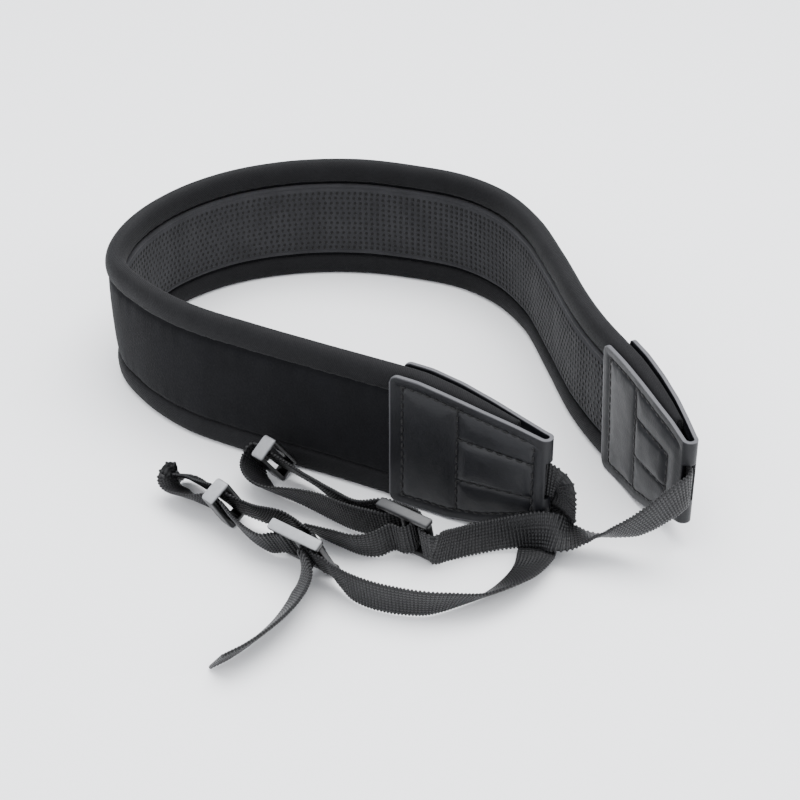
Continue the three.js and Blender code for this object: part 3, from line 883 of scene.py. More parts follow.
@dataclass
class NeckBand:
    """The padded band: knit-faced foam, rolled bindings on both edges, and a grip lining inside.

    Args:
        band: its run.
        layout: where it lies.
        step: distance between rings, in millimetres.
        pucker: depth of the gathers beside the seams, in millimetres.
        dimple_pitch: spacing of the grip's dimples along a row, in millimetres.
        row_pitch: spacing of their rows, in millimetres.
        face: half of the knit face's outline, as distance out and height.
        roll: a rolled binding's outer outline, the same way.
        grip_margin: height from either edge of the band to the nearest row of dots, in millimetres.
    """

    band: Band
    layout: Layout
    step: float = 1.6
    pucker: float = 0.22
    dimple_pitch: float = 2.45
    row_pitch: float = 2.15
    grip_margin: float = 12.0
    face: tuple[tuple[float, float], ...] = (
        (0.9, 1.6),
        (1.9, 2.6),
        (1.95, 7.8),
        (2.15, 8.5),
        (2.85, 9.8),
        (3.2, 12.5),
        (3.38, 17.0),
        (3.45, 24.25),
    )
    roll: tuple[tuple[float, float], ...] = (
        (-2.15, 8.1),
        (-2.75, 7.7),
        (-3.3, 6.8),
        (-3.62, 5.2),
        (-3.62, 3.4),
        (-3.2, 1.7),
        (-2.3, 0.5),
        (-1.1, 0.0),
        (1.1, 0.0),
        (2.3, 0.5),
        (3.2, 1.7),
        (3.62, 3.4),
        (3.62, 5.2),
        (3.3, 6.8),
        (2.75, 7.7),
        (2.15, 8.1),
    )

    def _rows(self, start: float, stop: float) -> Points:
        """Row numbers of the rings between two rows."""
        return self.band.route.even(self.step, start, stop)

    def _skin(self, name: str, rows: Points, across: Points, rise: Points) -> bpy.types.Object:
        """A closed piece through the rings, with lengths along and round it as its pattern map."""
        rings = self.layout.place(self.band.points(self.band.section(rows), across, rise))
        points, faces, share = tube(rings)
        mesh = mesh_of(name, points, faces)
        face_outwards(mesh)
        along = self.band.lengths(rows)[-1] * MM
        around = np.linalg.norm(np.diff(rings[len(rings) // 2], axis=0), axis=1).sum()
        set_uv(mesh, share * np.array([along, around]))
        return new_object(name, mesh)

    def pad(self) -> bpy.types.Object:
        """The foam with its knit face, gathered a little beside the seams."""
        half = curved(self.face, 3)
        top = half[:-1][::-1] * [1, -1] + [0, self.band.height]
        inner_top = np.array([(-0.9, 46.9), (-1.8, 45.9), (-1.8, 40.3), (-1.3, 39.6)])
        inner_low = inner_top[::-1] * [1, -1] + [0, self.band.height]
        profile = np.concatenate([half, top, inner_top, inner_low])
        rows = self._rows(1.0, self.band.last - 1.0)
        s = self.band.lengths(rows)[:, None]
        across = np.repeat(profile[None, :, 0], len(rows), 0)
        rise = np.repeat(profile[None, :, 1], len(rows), 0)
        outer = across > 1.9
        edge = np.minimum(np.abs(rise - 10.0), np.abs(rise - (self.band.height - 10.0)))
        gather = np.exp(-((edge / 4.5) ** 2)) * ripple(s, 9.0, 1.7) * self.pucker
        wave = 0.16 * ripple(s, 46.0, 0.4) * np.cos((rise - 24.25) / 15.0)
        return self._skin("neck_pad", rows, across + outer * (gather + wave), rise)

    def binding(self, upper: bool) -> bpy.types.Object:
        """One rolled binding, folded round an edge of the foam.

        Args:
            upper: whether it is the upper one.

        Returns:
            The piece.
        """
        outer = curved(self.roll, 2)
        inner = np.array([(1.95, 8.0), (1.95, 2.3), (1.0, 1.3), (-1.0, 1.3), (-1.95, 2.3), (-1.95, 8.0)])
        profile = np.concatenate([outer, inner])
        rows = self._rows(1.0, self.band.last - 1.0)
        s = self.band.lengths(rows)[:, None]
        across = np.repeat(profile[None, :, 0], len(rows), 0)
        rise = np.repeat(profile[None, :, 1], len(rows), 0)
        skin = np.arange(profile.shape[0])[None, :] < len(outer)
        seed = 3.1 if upper else 5.9
        fold = ripple(s + 1.4 * np.sign(across) * (rise - 3.0), 7.5, seed)
        near_seam = np.clip(rise / 8.0, 0.15, 1.0)
        swell = 1 - 0.05 * near_seam * (0.5 - 0.5 * fold)
        across = np.where(skin, across * swell, across)
        seam = np.where(skin & (rise > 6.5), 0.22 * ripple(s, 3.1, seed + 1), 0.0)
        rise = np.maximum(rise + seam, 0.0)
        if upper:
            rise = self.band.height - rise
        return self._skin("rolled_edge_" + ("top" if upper else "bottom"), rows, across, rise)

    def lining(self) -> bpy.types.Object:
        """The grip lining panel inside, with a raised piping line along both long edges."""
        piping = [(-1.5, 9.4), (-2.25, 9.25), (-2.75, 9.7), (-2.85, 10.3), (-2.6, 10.9), (-2.95, 11.8)]
        edge = curved(piping, 3)
        middle = np.array([(-3.05, 15.0), (-3.1, 20.0), (-3.1, 28.5), (-3.05, 33.5)])
        far_edge = edge[::-1] * [1, -1] + [0, self.band.height]
        profile = np.concatenate([edge, middle, far_edge])
        rows = self._rows(2.5, self.band.last - 2.5)
        s = self.band.lengths(rows)[:, None]
        across = np.repeat(profile[None, :, 0], len(rows), 0)
        rise = np.repeat(profile[None, :, 1], len(rows), 0)
        inside = np.clip((-across - 2.0), 0, 1)
        wave = inside * (0.1 * ripple(s, 30.0, 2.2) + 0.08 * ripple(s + 3 * rise, 8.0, 0.9))
        return self._skin("lining_panel", rows, across + wave, rise)

    def dimples(self, repeater: Repeater, finish: bpy.types.Material) -> bpy.types.Object:
        """Rows of small rubber dots that grip the neck.

        Args:
            repeater: the tree that lays them.
            finish: their material.

        Returns:
            The piece.
        """
        rows = self.band.route.even(self.dimple_pitch, 4.6, self.band.last - 4.6)
        levels = np.arange(self.grip_margin, self.band.height - self.grip_margin, self.row_pitch)
        spots, along, normal = [], [], []
        for k, level in enumerate(levels):
            cut = self.band.section(rows + 0.5 * (k % 2) * (rows[1] - rows[0]))
            across = np.full((len(rows), 1), -3.12)
            ring = self.band.points(cut, across, np.full((len(rows), 1), level))
            spots.append(ring[:, 0])
            along.append(cut.along)
            normal.append(-cut.out)
        dot = self._dot()
        places = (self.layout.place(np.concatenate(spots)), np.concatenate(along), np.concatenate(normal))
        return repeater.lay("grip_dots", places, dot, finish, dot[0][:, :2])

    def _dot(
        self, length: float = 1.35, width: float = 1.55, height: float = 0.2
    ) -> tuple[Points, FaceList]:
        """One low oval dot in metres.

        Args:
            length: its size along the band, in millimetres.
            width: its size up the band, in millimetres.
            height: how far it stands out, in millimetres.

        Returns:
            Points and faces.
        """
        turn = np.linspace(0, 2 * math.pi, 9)[:-1]
        rings = [(1.0, -0.12), (0.9, 0.6), (0.45, 1.0)]
        points = [
            (math.cos(a) * length / 2 * w, math.sin(a) * width / 2 * w, height * h)
            for w, h in rings
            for a in turn
        ]
        faces = [
            (r * 8 + i, r * 8 + (i + 1) % 8, (r + 1) * 8 + (i + 1) % 8, (r + 1) * 8 + i)
            for r in range(2)
            for i in range(8)
        ]
        faces += [tuple(range(7, -1, -1)), tuple(16 + i for i in range(8))]
        return np.array(points) * MM, faces

    def dress(self, finishes: Finishes, repeater: Repeater) -> None:
        """Builds every piece of the band and gives each its finish and its body."""
        pad = self.pad()
        top, bottom, lining = self.binding(True), self.binding(False), self.lining()
        dots = self.dimples(repeater, finishes.rubber)
        settle(pad, finishes.neoprene, "neoprene", "pad_core")
        settle(top, finishes.binding, "edge_binding", "binding_top")
        settle(bottom, finishes.binding, "edge_binding", "binding_bottom")
        settle(lining, finishes.lining, "grip_lining", "grip_lining")
        settle(dots, None, "grip_lining")


def settle(
    piece: bpy.types.Object, finish: bpy.types.Material | None, slot: str, *nodes: str
) -> bpy.types.Object:
    """Gives a piece its finish and its body, and hides the CAD nodes it stands for.

    Args:
        piece: the piece.
        finish: its material, or None where it has one.
        slot: the record's material slot; not used.
        nodes: the CAD nodes that it replaces.

    Returns:
        The piece.
    """
    if finish is not None:
        piece.data.materials.clear()
        piece.data.materials.append(finish)
    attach(piece, BODY)
    if nodes:
        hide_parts(*nodes)
    lowest = min(v.co.z for v in piece.data.vertices)
    log.info("%s: %d faces, lowest point %.2f mm", piece.name, len(piece.data.polygons), lowest / MM)
    return piece


# ------------------------------------------------------------------ stitches


@dataclass(frozen=True)
class Stitch:
    """One stitch of thread, sunk a little at both ends.

    Args:
        pitch: distance from one stitch to the next, in millimetres.
        length: its own length.
        width: the thread's width.
    """

    pitch: float = 3.0
    length: float = 2.3
    width: float = 0.86

    def shell(self) -> tuple[Points, FaceList]:
        """Its points in metres and its faces, x along the seam and z out of the surface."""
        x = np.array([-0.5, -0.44, -0.2, 0.2, 0.44, 0.5]) * self.length
        r = np.array([0.25, 0.75, 1.0, 1.0, 0.75, 0.25]) * self.width / 2
        lift = np.array([-0.22, 0.0, 0.12, 0.12, 0.0, -0.22])
        turn = np.linspace(0, 2 * math.pi, 7)[:-1]
        rings = np.stack(
            [
                np.stack([np.full(6, xi), ri * np.cos(turn), 0.8 * ri * np.sin(turn) + li], 1)
                for xi, ri, li in zip(x, r, lift)
            ]
        )
        points, faces, _ = tube(rings)
        return points * MM, faces


# ------------------------------------------------------------------ the leather ends


@dataclass(frozen=True)
class Fold:
    """The leather's line in plan, from one open edge round the tip to the other.

    Args:
        middle: points of the leather's middle surface.
        out: level directions to its outer face.
        length: lengths from the first open edge.
        low: height of the band's lower edge.
        high: height of the band's upper edge.
        lean: level offset of the upper edge, as a vector.
    """

    middle: Points
    out: Points
    length: Points
    low: Points
    high: Points
    lean: Points


@dataclass
class LeatherEnd:
    """One piece of leather folded round an end of the band and stitched through.

    Panel lengths run from the open edge to the tip; heights are the table's.

    Args:
        side: which end it is.
        band: the band's run.
        layout: where it lies.
        tip: the band's row at the fold.
        open_row: the band's row at the open edge.
        seams: lines of stitches on each panel, as length and height of their two ends.
        sewn: lengths between which the webbing lies inside, and its lower and upper height.
        thickness: the leather's thickness.
        gap: the space between the leather and the band.
        above_low: how far the lower edge stays above the band's.
        below_high: how far the upper edge stays below the band's.
        corner: the radius of the open corners.
        border: distance from the edges to the border stitches.
        puff: how far the leather swells between seams.
        puff_width: how far from a seam the swelling takes.
        dip: how deep a seam draws the leather in.
        dip_width: half the width of that groove.
        slot_low: lower end of the webbing's slot.
        slot_high: upper end of the webbing's slot.
        stitch: the thread's stitch.
        steps_up: grid steps from the lower edge to the upper one.
        fold_steps: grid steps round the tip.
        cut_pale: how far a cut edge shows its pale colour.
    """

    side: Side
    band: Band
    layout: Layout
    tip: int
    open_row: int
    seams: tuple[tuple[float, float, float, float], ...]
    sewn: tuple[float, float, float, float]
    thickness: float = 1.3
    gap: float = 0.35
    above_low: float = 0.4
    below_high: float = 0.2
    corner: float = 3.0
    border: float = 3.4
    puff: float = 0.5
    puff_width: float = 3.2
    dip: float = 0.62
    dip_width: float = 0.85
    slot_low: float = 18.2
    slot_high: float = 31.4
    stitch: Stitch = field(default_factory=Stitch)
    steps_up: int = 72
    fold_steps: int = 12
    cut_pale: float = 0.9

    def _panel_rows(self) -> Points:
        """Row numbers from the open edge to the fold."""
        low, high = sorted((self.tip, self.open_row))
        rows = self.band.route.even(0.7, low, high)
        return rows[::-1] if self.tip < self.open_row else rows

    @property
    def _way(self) -> int:
        """1 where the band's rows count up towards the tip, or -1."""
        return 1 if self.tip > self.open_row else -1

    def _fold(self) -> Fold:
        """Lays the leather along one panel, round the tip and back along the other."""
        rows = self._panel_rows()
        cut = self.band.section(rows)
        s = np.abs(self.band.lengths(rows))
        reach = cut.thick / 2 + self.gap + self.thickness / 2
        lean = cut.lean[:, None] * cut.out
        panels = [
            (cut.middle + cut.out * (sign * reach)[:, None], cut.out * sign, run, cut.low, cut.high, lean)
            for sign, run in ((1, s), (-1, 2 * s[-1] - s))
        ]
        turns = np.linspace(0, math.pi, self.fold_steps + 2)[1:-1, None]
        out = cut.out[-1] * np.cos(turns) + cut.along[-1] * self._way * np.sin(turns)
        count = len(turns)
        tip = self.band.section(rows[-1:])
        nose = (
            cut.middle[-1] + out * reach[-1],
            out,
            *(np.full(count, value[-1]) for value in (s, tip.low, tip.high)),
            np.repeat(tip.lean[:, None] * tip.out, count, 0),
        )
        back = tuple(part[::-1] for part in panels[1])
        return Fold(*(np.concatenate(parts) for parts in zip(panels[0], nose, back)))

    def _reach_on_panel(self, length: Points, total: float) -> Points:
        """The length from the open edge on either panel."""
        return np.where(length > total, 2 * total - length, length)

    def _relief(self, s: Points, z: Points, low: Points, high: Points, total: float) -> Points:
        """How far the leather stands out or sinks, in millimetres, at lengths and heights."""
        relief = 0.096 * ripple(s + 0.6 * z, 17.0, 1.1)
        nearest = np.full(s.shape, 99.0)
        for s0, z0, s1, z1 in self.seams:
            d = np.array([s1 - s0, z1 - z0])
            t = np.clip(((s - s0) * d[0] + (z - z0) * d[1]) / (d @ d), 0, 1)
            nearest = np.minimum(nearest, np.hypot(s - s0 - t * d[0], z - z0 - t * d[1]))
        edge = np.minimum(np.minimum(z - low, high - z), s)
        nearest = np.minimum(nearest, np.abs(edge - self.border) + 0.15)
        within = np.clip((edge - self.border) / 1.2, 0, 1)
        puff = self.puff * (1 - np.exp(-((nearest / self.puff_width) ** 2))) * within
        dip = self.dip * np.exp(-((nearest / self.dip_width) ** 2))
        a, b, z_low, z_high = self.sewn
        inside = np.clip((s - a) / 2, 0, 1) * np.clip((b - s) / 2, 0, 1)
        inside = inside * np.clip((z - z_low) / 1.5, 0, 1) * np.clip((z_high - z) / 1.5, 0, 1)
        fade = np.clip((total - s) / 3.0, 0.0, 1.0) * np.clip(edge / 1.5, 0.0, 1.0)
        return (relief + puff - dip + 0.45 * inside) * fade

    def _surface(self) -> tuple[Points, Points, Points, Points, float]:
        """The leather's middle surface as a grid, with its directions, lengths and heights."""
        fold = self._fold()
        length, low, high = fold.length, fold.low, fold.high
        total = float(length[len(self._panel_rows()) - 1])
        s = self._reach_on_panel(length, total)
        near = np.clip(1 - s / self.corner, 0, 1)
        cut = self.corner * (1 - np.sqrt(1 - near**2))
        z_low = low + self.above_low + cut
        z_high = high - self.below_high - cut
        v = np.linspace(0, 1, self.steps_up + 1)[None, :]
        z = z_low[:, None] * (1 - v) + z_high[:, None] * v
        sag = self._relief(s[:, None] + 0 * z, z, z_low[:, None], z_high[:, None], total)
        lean = (z - low[:, None]) / (high - low)[:, None] - 0.5
        out = fold.out[:, None, :]
        grid = fold.middle[:, None, :] + out * sag[..., None] - fold.lean[:, None, :] * lean[..., None]
        grid[..., 2] = z
        return grid, np.repeat(out, z.shape[1], 1), s, length, total

    def shell(self) -> bpy.types.Object:
        """The leather itself, with its slot for the webbing and real thickness."""
        grid, _, s, length, total = self._surface()
        n, m, _ = grid.shape
        fold = np.abs(length - total) < 0.5
        faces = []
        for i in range(n - 1):
            for j in range(m - 1):
                z = grid[i, j, 2]
                if fold[i] and fold[i + 1] and self.slot_low < z < self.slot_high and self._facing(i, grid):
                    continue
                faces.append((i * m + j, (i + 1) * m + j, (i + 1) * m + j + 1, i * m + j + 1))
        points = self.layout.place(grid.reshape(-1, 3))
        mesh = mesh_of(f"leather_end_{self.side.value}", points, faces)
        edge = np.zeros((n, m))
        edge[[0, -1], :] = edge[:, [0, -1]] = self.cut_pale
        set_number(mesh, "cut", edge.ravel())
        piece = new_object(mesh.name, mesh)
        wall = piece.modifiers.new("wall", "SOLIDIFY")
        wall.thickness = self.thickness * MM
        wall.offset = 0.0
        wall.use_even_offset = False
        round_off = piece.modifiers.new("round", "BEVEL")
        round_off.width = 0.3 * MM
        round_off.segments = 2
        round_off.limit_method = "ANGLE"
        round_off.angle_limit = math.radians(50)
        return finished(piece)

    def _facing(self, ring: int, grid: Points) -> bool:
        """Whether a ring of the fold looks straight ahead, where the slot is."""
        tip = self.band.section(np.array([float(self.tip)]))
        ahead = tip.along[0] * self._way
        reach = grid[ring, 0] - tip.middle[0]
        reach[2] = 0
        return float(unit(reach) @ ahead) > 0.62

    def thread(self, repeater: Repeater, finish: bpy.types.Material) -> bpy.types.Object:
        """Every stitch on both panels.

        Args:
            repeater: the tree that lays them.
            finish: the thread's material.

        Returns:
            The piece.
        """
        grid, out, s, length, total = self._surface()
        half = len(self._panel_rows())
        spots, along, normal = [], [], []
        for panel in (slice(0, half), slice(len(s) - half, len(s))):
            ring, faces_out, lengths = grid[panel], out[panel], s[panel]
            if lengths[0] > lengths[-1]:
                ring, faces_out, lengths = ring[::-1], faces_out[::-1], lengths[::-1]
            paths = [self._path(*line) for line in self.seams]
            reach = np.arange(self.border + 1.5, total - 4.0, self.stitch.pitch)
            for edge in (0, -1):
                z_edge = np.interp(reach, lengths, ring[:, edge, 2])
                paths.append(np.stack([reach, z_edge + (self.border if edge == 0 else -self.border)], 1))
            for path in paths:
                place = self._on(ring, lengths, path)
                ahead = self._on(ring, lengths, path + np.gradient(path, axis=0) * 0.1)
                side = self._on(faces_out, lengths, path, ring)
                spots.append(place + side * (self.thickness / 2 + 0.05))
                along.append(unit(ahead - place))
                normal.append(unit(side))
        places = (self.layout.place(np.concatenate(spots)), np.concatenate(along), np.concatenate(normal))
        shell = self.stitch.shell()
        return repeater.lay(f"stitches_{self.side.value}", places, shell, finish, shell[0][:, :2])

    def _path(self, s0: float, z0: float, s1: float, z1: float) -> Points:
        """Stitch places from one end of a seam to the other."""
        count = max(2, int(math.hypot(s1 - s0, z1 - z0) / self.stitch.pitch) + 1)
        return np.stack([np.linspace(s0, s1, count), np.linspace(z0, z1, count)], 1)

    def _on(self, values: Points, lengths: Points, path: Points, heights: Points | None = None) -> Points:
        """Reads a grid's values at lengths and heights."""
        height = (values if heights is None else heights)[..., 2]
        found = []
        for s, z in path:
            i = int(np.clip(np.searchsorted(lengths, s) - 1, 0, len(lengths) - 2))
            f = float(np.clip((s - lengths[i]) / (lengths[i + 1] - lengths[i]), 0, 1))
            pair = []
            for k in (i, i + 1):
                pair.append([np.interp(z, height[k], values[k, :, c]) for c in range(3)])
            found.append(np.array(pair[0]) * (1 - f) + np.array(pair[1]) * f)
        return np.array(found)

    def dress(self, finishes: Finishes, repeater: Repeater) -> None:
        """Builds the leather and its stitches and gives each its finish and its body."""
        settle(self.shell(), finishes.leather, "leather", f"leather_cap_{self.side.value}")
        settle(self.thread(repeater, finishes.thread), None, "leather")


# ------------------------------------------------------------------ buckles, keepers and webbing


@dataclass(frozen=True)
class Seat:
    """A frame on a strap, for a buckle or a keeper.

    Args:
        at: its middle in the tables, in millimetres.
        turn: the way it points along the strap, in degrees from +X.
        lean: how far its upper end leans towards the open side, in degrees.
    """

    at: tuple[float, float, float]
    turn: float
    lean: float

    @property
    def axes(self) -> tuple[Points, Points, Points]:
        """The directions along the strap, up its width, and to the open side."""
        yaw, tilt = math.radians(self.turn), math.radians(self.lean)
        along = np.array([math.cos(yaw), math.sin(yaw), 0.0])
        level = np.array([along[1], -along[0], 0.0])
        edge = UP * math.cos(tilt) + level * math.sin(tilt)
        return along, edge, np.cross(along, edge)

    def point(self, along: float, out: float) -> Points:
        """A point beside it."""
        axes = self.axes
        return np.array(self.at) + axes[0] * along + axes[2] * out

    def set_in(self, points: Points) -> Points:
        """Its own points, x along the strap, y up its width, z out, as table points."""
        return np.array(self.at) + points @ np.stack(self.axes)


@dataclass
class Buckle:
    """A three-bar buckle standing on edge, moulded in one.

    Args:
        side: whose strap it is on.
        seat: where it stands.
        layout: where the tables lie.
        length: its length along the strap.
        height: its height over both rails.
        rail: the rails' depth.
        bar: the bars' depth.
        web_slot: the length of its slots.
        bar_width: the bars' width.
        rail_round: radius of the rails' edges.
        bar_round: radius of the bars' edges.
        taper: how much shallower the rails get towards their ends.
        let_in: how far the bars run into the rails.
        shine: how strongly the top rail carries the painted highlight.
    """

    side: Side
    seat: Seat
    layout: Layout
    length: float = 20.0
    height: float = 17.6
    rail: float = 4.4
    bar: float = 2.4
    web_slot: float = 13.6
    bar_width: float = 2.4
    rail_round: float = 0.62
    bar_round: float = 0.7
    taper: float = 0.35
    let_in: float = 0.4
    shine: float = 1.0

    def shell(self) -> bpy.types.Object:
        """Rails with rounded edges and three bars let into them."""
        width = (self.height - self.web_slot) / 2
        shells = []
        for sign in (-1, 1):
            points, faces = rounded_box((self.length, width, self.rail), self.rail_round, 4)
            taper = self.taper * (np.cos(points[:, 0] / self.length * math.pi) - 1)
            points[:, 2] += np.sign(points[:, 2]) * taper
            shells.append((points + [0, sign * (self.web_slot + width) / 2, 0], faces))
        end = (self.length - self.bar_width) / 2
        for x in (-end, 0.0, end):
            size = (self.bar_width, self.web_slot + 2 * self.let_in, self.bar)
            points, faces = rounded_box(size, self.bar_round, 4)
            shells.append((points + [x, 0, 0], faces))
        points, faces = joined(shells)
        # the upper face of the top rail is marked to take the painted highlight
        top = np.clip((points[:, 1] - self.height / 2 + 0.55) / 0.4, 0, 1)
        name = f"buckle_{self.side.value}"
        mesh = mesh_of(name, self.layout.place(self.seat.set_in(points)), faces)
        face_outwards(mesh)
        set_number(mesh, "rubbed", top * self.shine)
        return new_object(name, mesh)

    def dress(self, finishes: Finishes) -> None:
        """Builds the buckle and gives it its finish and its body."""
        settle(self.shell(), finishes.plastic, "buckle_plastic", f"slider_{self.side.value}")


@dataclass
class Keeper:
    """A plain moulded ring that holds the strap's strands together.

    Args:
        side: whose strap it is on.
        seat: where it stands.
        layout: where the tables lie.
        length: its length along the strap.
        height: its height up the strap's width.
        depth: its depth across the strap.
        wall: its wall.
        shine: how strongly its top carries the painted highlight.
    """

    side: Side
    seat: Seat
    layout: Layout
    length: float = 5.0
    height: float = 16.6
    depth: float = 8.6
    wall: float = 1.5
    shine: float = 1.0

    def shell(self) -> bpy.types.Object:
        """The ring, swept with a rounded section."""
        w, t, b = self.length / 2, self.wall / 2, 0.42
        corners = [(-w, -t), (w, -t), (w, t), (-w, t)]
        section = []
        for k, (x, y) in enumerate(corners):
            for a in np.linspace(0, math.pi / 2, 4):
                turn = a + math.pi * (k / 2 + 1)
                middle = (x - b * np.sign(x), y - b * np.sign(y))
                section.append((middle[0] + b * math.cos(turn), middle[1] + b * math.sin(turn)))
        path, outwards = self._path()
        rings = np.array([[(x, *(p + o * y)) for x, y in section] for p, o in zip(path, outwards)])
        points, faces, _ = tube(rings, capped=False)
        m, n = len(section), len(rings)
        faces += [((n - 1) * m + i, (n - 1) * m + (i + 1) % m, (i + 1) % m, i) for i in range(m)]
        # the upper side of the ring is marked to take the painted highlight
        top = np.clip((points[:, 1] - self.height / 2 + 0.9) / 0.5, 0, 1)
        name = f"strap_keeper_{self.side.value}"
        mesh = mesh_of(name, self.layout.place(self.seat.set_in(points)), faces)
        face_outwards(mesh)
        set_number(mesh, "rubbed", top * self.shine)
        return new_object(name, mesh)

    def _path(self) -> tuple[list[Points], list[Points]]:
        """The ring's middle line, corner by corner, with the outward direction at each point."""
        r = 1.3 - self.wall / 2
        h, d = self.height / 2 - self.wall / 2 - r, self.depth / 2 - self.wall / 2 - r
        path, outwards = [], []
        for k, (y, z) in enumerate([(h, d), (-h, d), (-h, -d), (h, -d)]):
            for a in np.linspace(0, math.pi / 2, 6):
                turn = a + k * math.pi / 2
                o = np.array([math.cos(turn), math.sin(turn)])
                path.append(np.array([y, z]) + r * o)
                outwards.append(o)
        return path, outwards

    def dress(self, finishes: Finishes) -> None:
        """Builds the keeper and gives it its finish and its body."""
        settle(self.shell(), finishes.plastic, "buckle_plastic", f"keeper_{self.side.value}")


@dataclass
class Webbing:
    """Ribbed nylon webbing, laid through its buckle and keeper.

    Args:
        side: which strap it is.
        layout: where the tables lie.
        buckle: the seat of its buckle.
        keeper: the seat of its keeper.
        turned: 1, or -1 where the strap has half a twist before the buckle.
        run: from inside the leather to the buckle; middle point and the direction of its upper edge.
        behind: along and out beside the buckle, behind its rear bars.
        strand: between the buckle and the keeper.
        loop: round the camera's lug and back.
        both_in_keeper: whether the returning strand lies in the keeper too.
        back: from the keeper back to the buckle.
        leave: along and out beside the buckle, as the tail leaves it.
        tail: the free end.
        width: the webbing's width.
        thickness: its thickness over the ribs.
        rib: the ribs' spacing.
        core_inset: how far the woven body stays inside the ribs' ends.
        core_sink: how far it lies below the ribs' crowns.
        thread_in: along and out beside the buckle, from its front to behind its middle bar.
        thread_back: the same for the returning end.
    """

    side: Side
    layout: Layout
    buckle: Seat
    keeper: Seat
    turned: int
    run: tuple[Row, ...]
    behind: tuple[tuple[float, float], ...]
    strand: tuple[Row, ...]
    loop: tuple[Row, ...]
    both_in_keeper: bool
    back: tuple[Row, ...]
    leave: tuple[tuple[float, float], ...]
    tail: tuple[Row, ...]
    width: float = 12.5
    thickness: float = 1.25
    rib: float = 1.12
    core_inset: float = 0.4
    core_sink: float = 0.32
    thread_in: tuple[tuple[float, float], ...] = (
        (11.5, 2.3),
        (8.9, 2.3),
        (7.4, 2.2),
        (6.3, 1.0),
        (5.4, -0.8),
        (4.2, -2.6),
        (2.6, -3.9),
        (0.0, -4.2),
    )
    thread_back: tuple[tuple[float, float], ...] = (
        (-8.8, 2.3),
        (-6.3, 1.5),
        (-4.3, -0.3),
        (-2.4, -1.9),
        (0.0, -2.2),
        (2.4, -1.7),
        (3.1, 0.4),
        (2.9, 2.6),
    )

    def _beside(self, seat: Seat, places: Sequence[tuple[float, float]]) -> list[tuple[float, ...]]:
        """Rows beside a buckle or in a keeper."""
        edge = seat.axes[1] * self.turned
        return [(*seat.point(a, o), *edge) for a, o in places]

    def _in_keeper(self, out: float, way: int) -> list[tuple[float, ...]]:
        """The three rows that lead a strand straight through the keeper."""
        half = 2.5 * way
        return self._beside(self.keeper, [(half, out), (0.0, out), (-half, out)])

    def rows(self) -> Points:
        """The whole strap from the leather to its free end."""
        apart = 1.6 if self.both_in_keeper else 0.0
        rows = [
            *self.run,
            *self._beside(self.buckle, self.thread_in),
            *self._beside(self.buckle, self.behind),
            *self.strand,
            *self._in_keeper(-apart, 1),
            *self.loop,
            *(self._in_keeper(apart, -1) if self.both_in_keeper else []),
            *self.back,
            *self._beside(self.buckle, self.thread_back),
            *self._beside(self.buckle, self.leave),
            *self.tail,
        ]
        return np.array(rows, float)

    def _frames(self, step: float) -> tuple[Points, Points, Points, Points]:
        """Points, directions along, edge directions and face normals at even steps."""
        table = self.rows()
        route = Route(table[:, :3], table[:, 3:])
        points, edge = route.at(route.even(step))
        reach = max(1, int(round(1.7 / step)))
        edge = smooth(edge, reach)
        along = unit(np.gradient(points, axis=0))
        edge = unit(edge - along * (edge * along).sum(1, keepdims=True))
        face = np.cross(along, edge)
        reach_down = np.abs(edge[:, 2]) * self.width / 2 + np.abs(face[:, 2]) * self.thickness / 2
        points[:, 2] += np.maximum(0.0, reach_down + 0.06 - points[:, 2])
        return points, along, edge, face

    def core(self) -> bpy.types.Object:
        """The woven body under the ribs."""
        points, along, edge, face = self._frames(0.55)
        w, t = self.width / 2 - self.core_inset, self.thickness / 2 - self.core_sink
        v = w - 0.3
        outline = [(-t, -v), (0, -w), (t, -v), (t, 0), (t, v), (0, w), (-t, v), (-t, 0)]
        rings = np.stack([points + face * a + edge * b for a, b in outline], 1)
        skin, faces, share = tube(self.layout.place(rings))
        name = f"webbing_core_{self.side.value}"
        mesh = mesh_of(name, skin, faces)
        face_outwards(mesh)
        set_uv(mesh, np.stack([share[:, 1] * 0.027, share[:, 0] * len(points) * 0.00055], 1))
        return new_object(name, mesh)

    def ribs(self, repeater: Repeater, finish: bpy.types.Material) -> bpy.types.Object:
        """The cross ribs, one by one along the webbing, their ends making its scalloped edges.

        Args:
            repeater: the tree that lays them.
            finish: the yarn's material.

        Returns:
            The piece.
        """
        points, _, edge, face = self._frames(self.rib)
        shell = self._rib()
        places = (self.layout.place(points), edge, face)
        return repeater.lay(f"webbing_ribs_{self.side.value}", places, shell, finish, shell[0][:, :2])

    def _rib(self) -> tuple[Points, FaceList]:
        """One rib in metres, its length along x, rounded at both ends."""
        w, t, r = self.width / 2, self.thickness / 2, self.rib * 0.5
        x = np.array([-1.0, -0.985, -0.94, -0.86, -0.4, 0.0, 0.4, 0.86, 0.94, 0.985, 1.0]) * w
        size = np.array([0.3, 0.62, 0.88, 1.0, 1.0, 1.0, 1.0, 1.0, 0.88, 0.62, 0.3])
        turn = np.linspace(0, 2 * math.pi, 9)[:-1]
        rings = np.stack(
            [
                np.stack([np.full(8, xi), s * r * np.cos(turn), s * t * np.sin(turn)], 1)
                for xi, s in zip(x, size)
            ]
        )
        points, faces, _ = tube(rings)
        return points * MM, faces

    def dress(self, finishes: Finishes, repeater: Repeater) -> None:
        """Builds the webbing and gives it its finish and its body."""
        settle(self.core(), finishes.webbing, "webbing", f"webbing_{self.side.value}")
        settle(self.ribs(repeater, finishes.webbing), None, "webbing")


# ------------------------------------------------------------------ the room


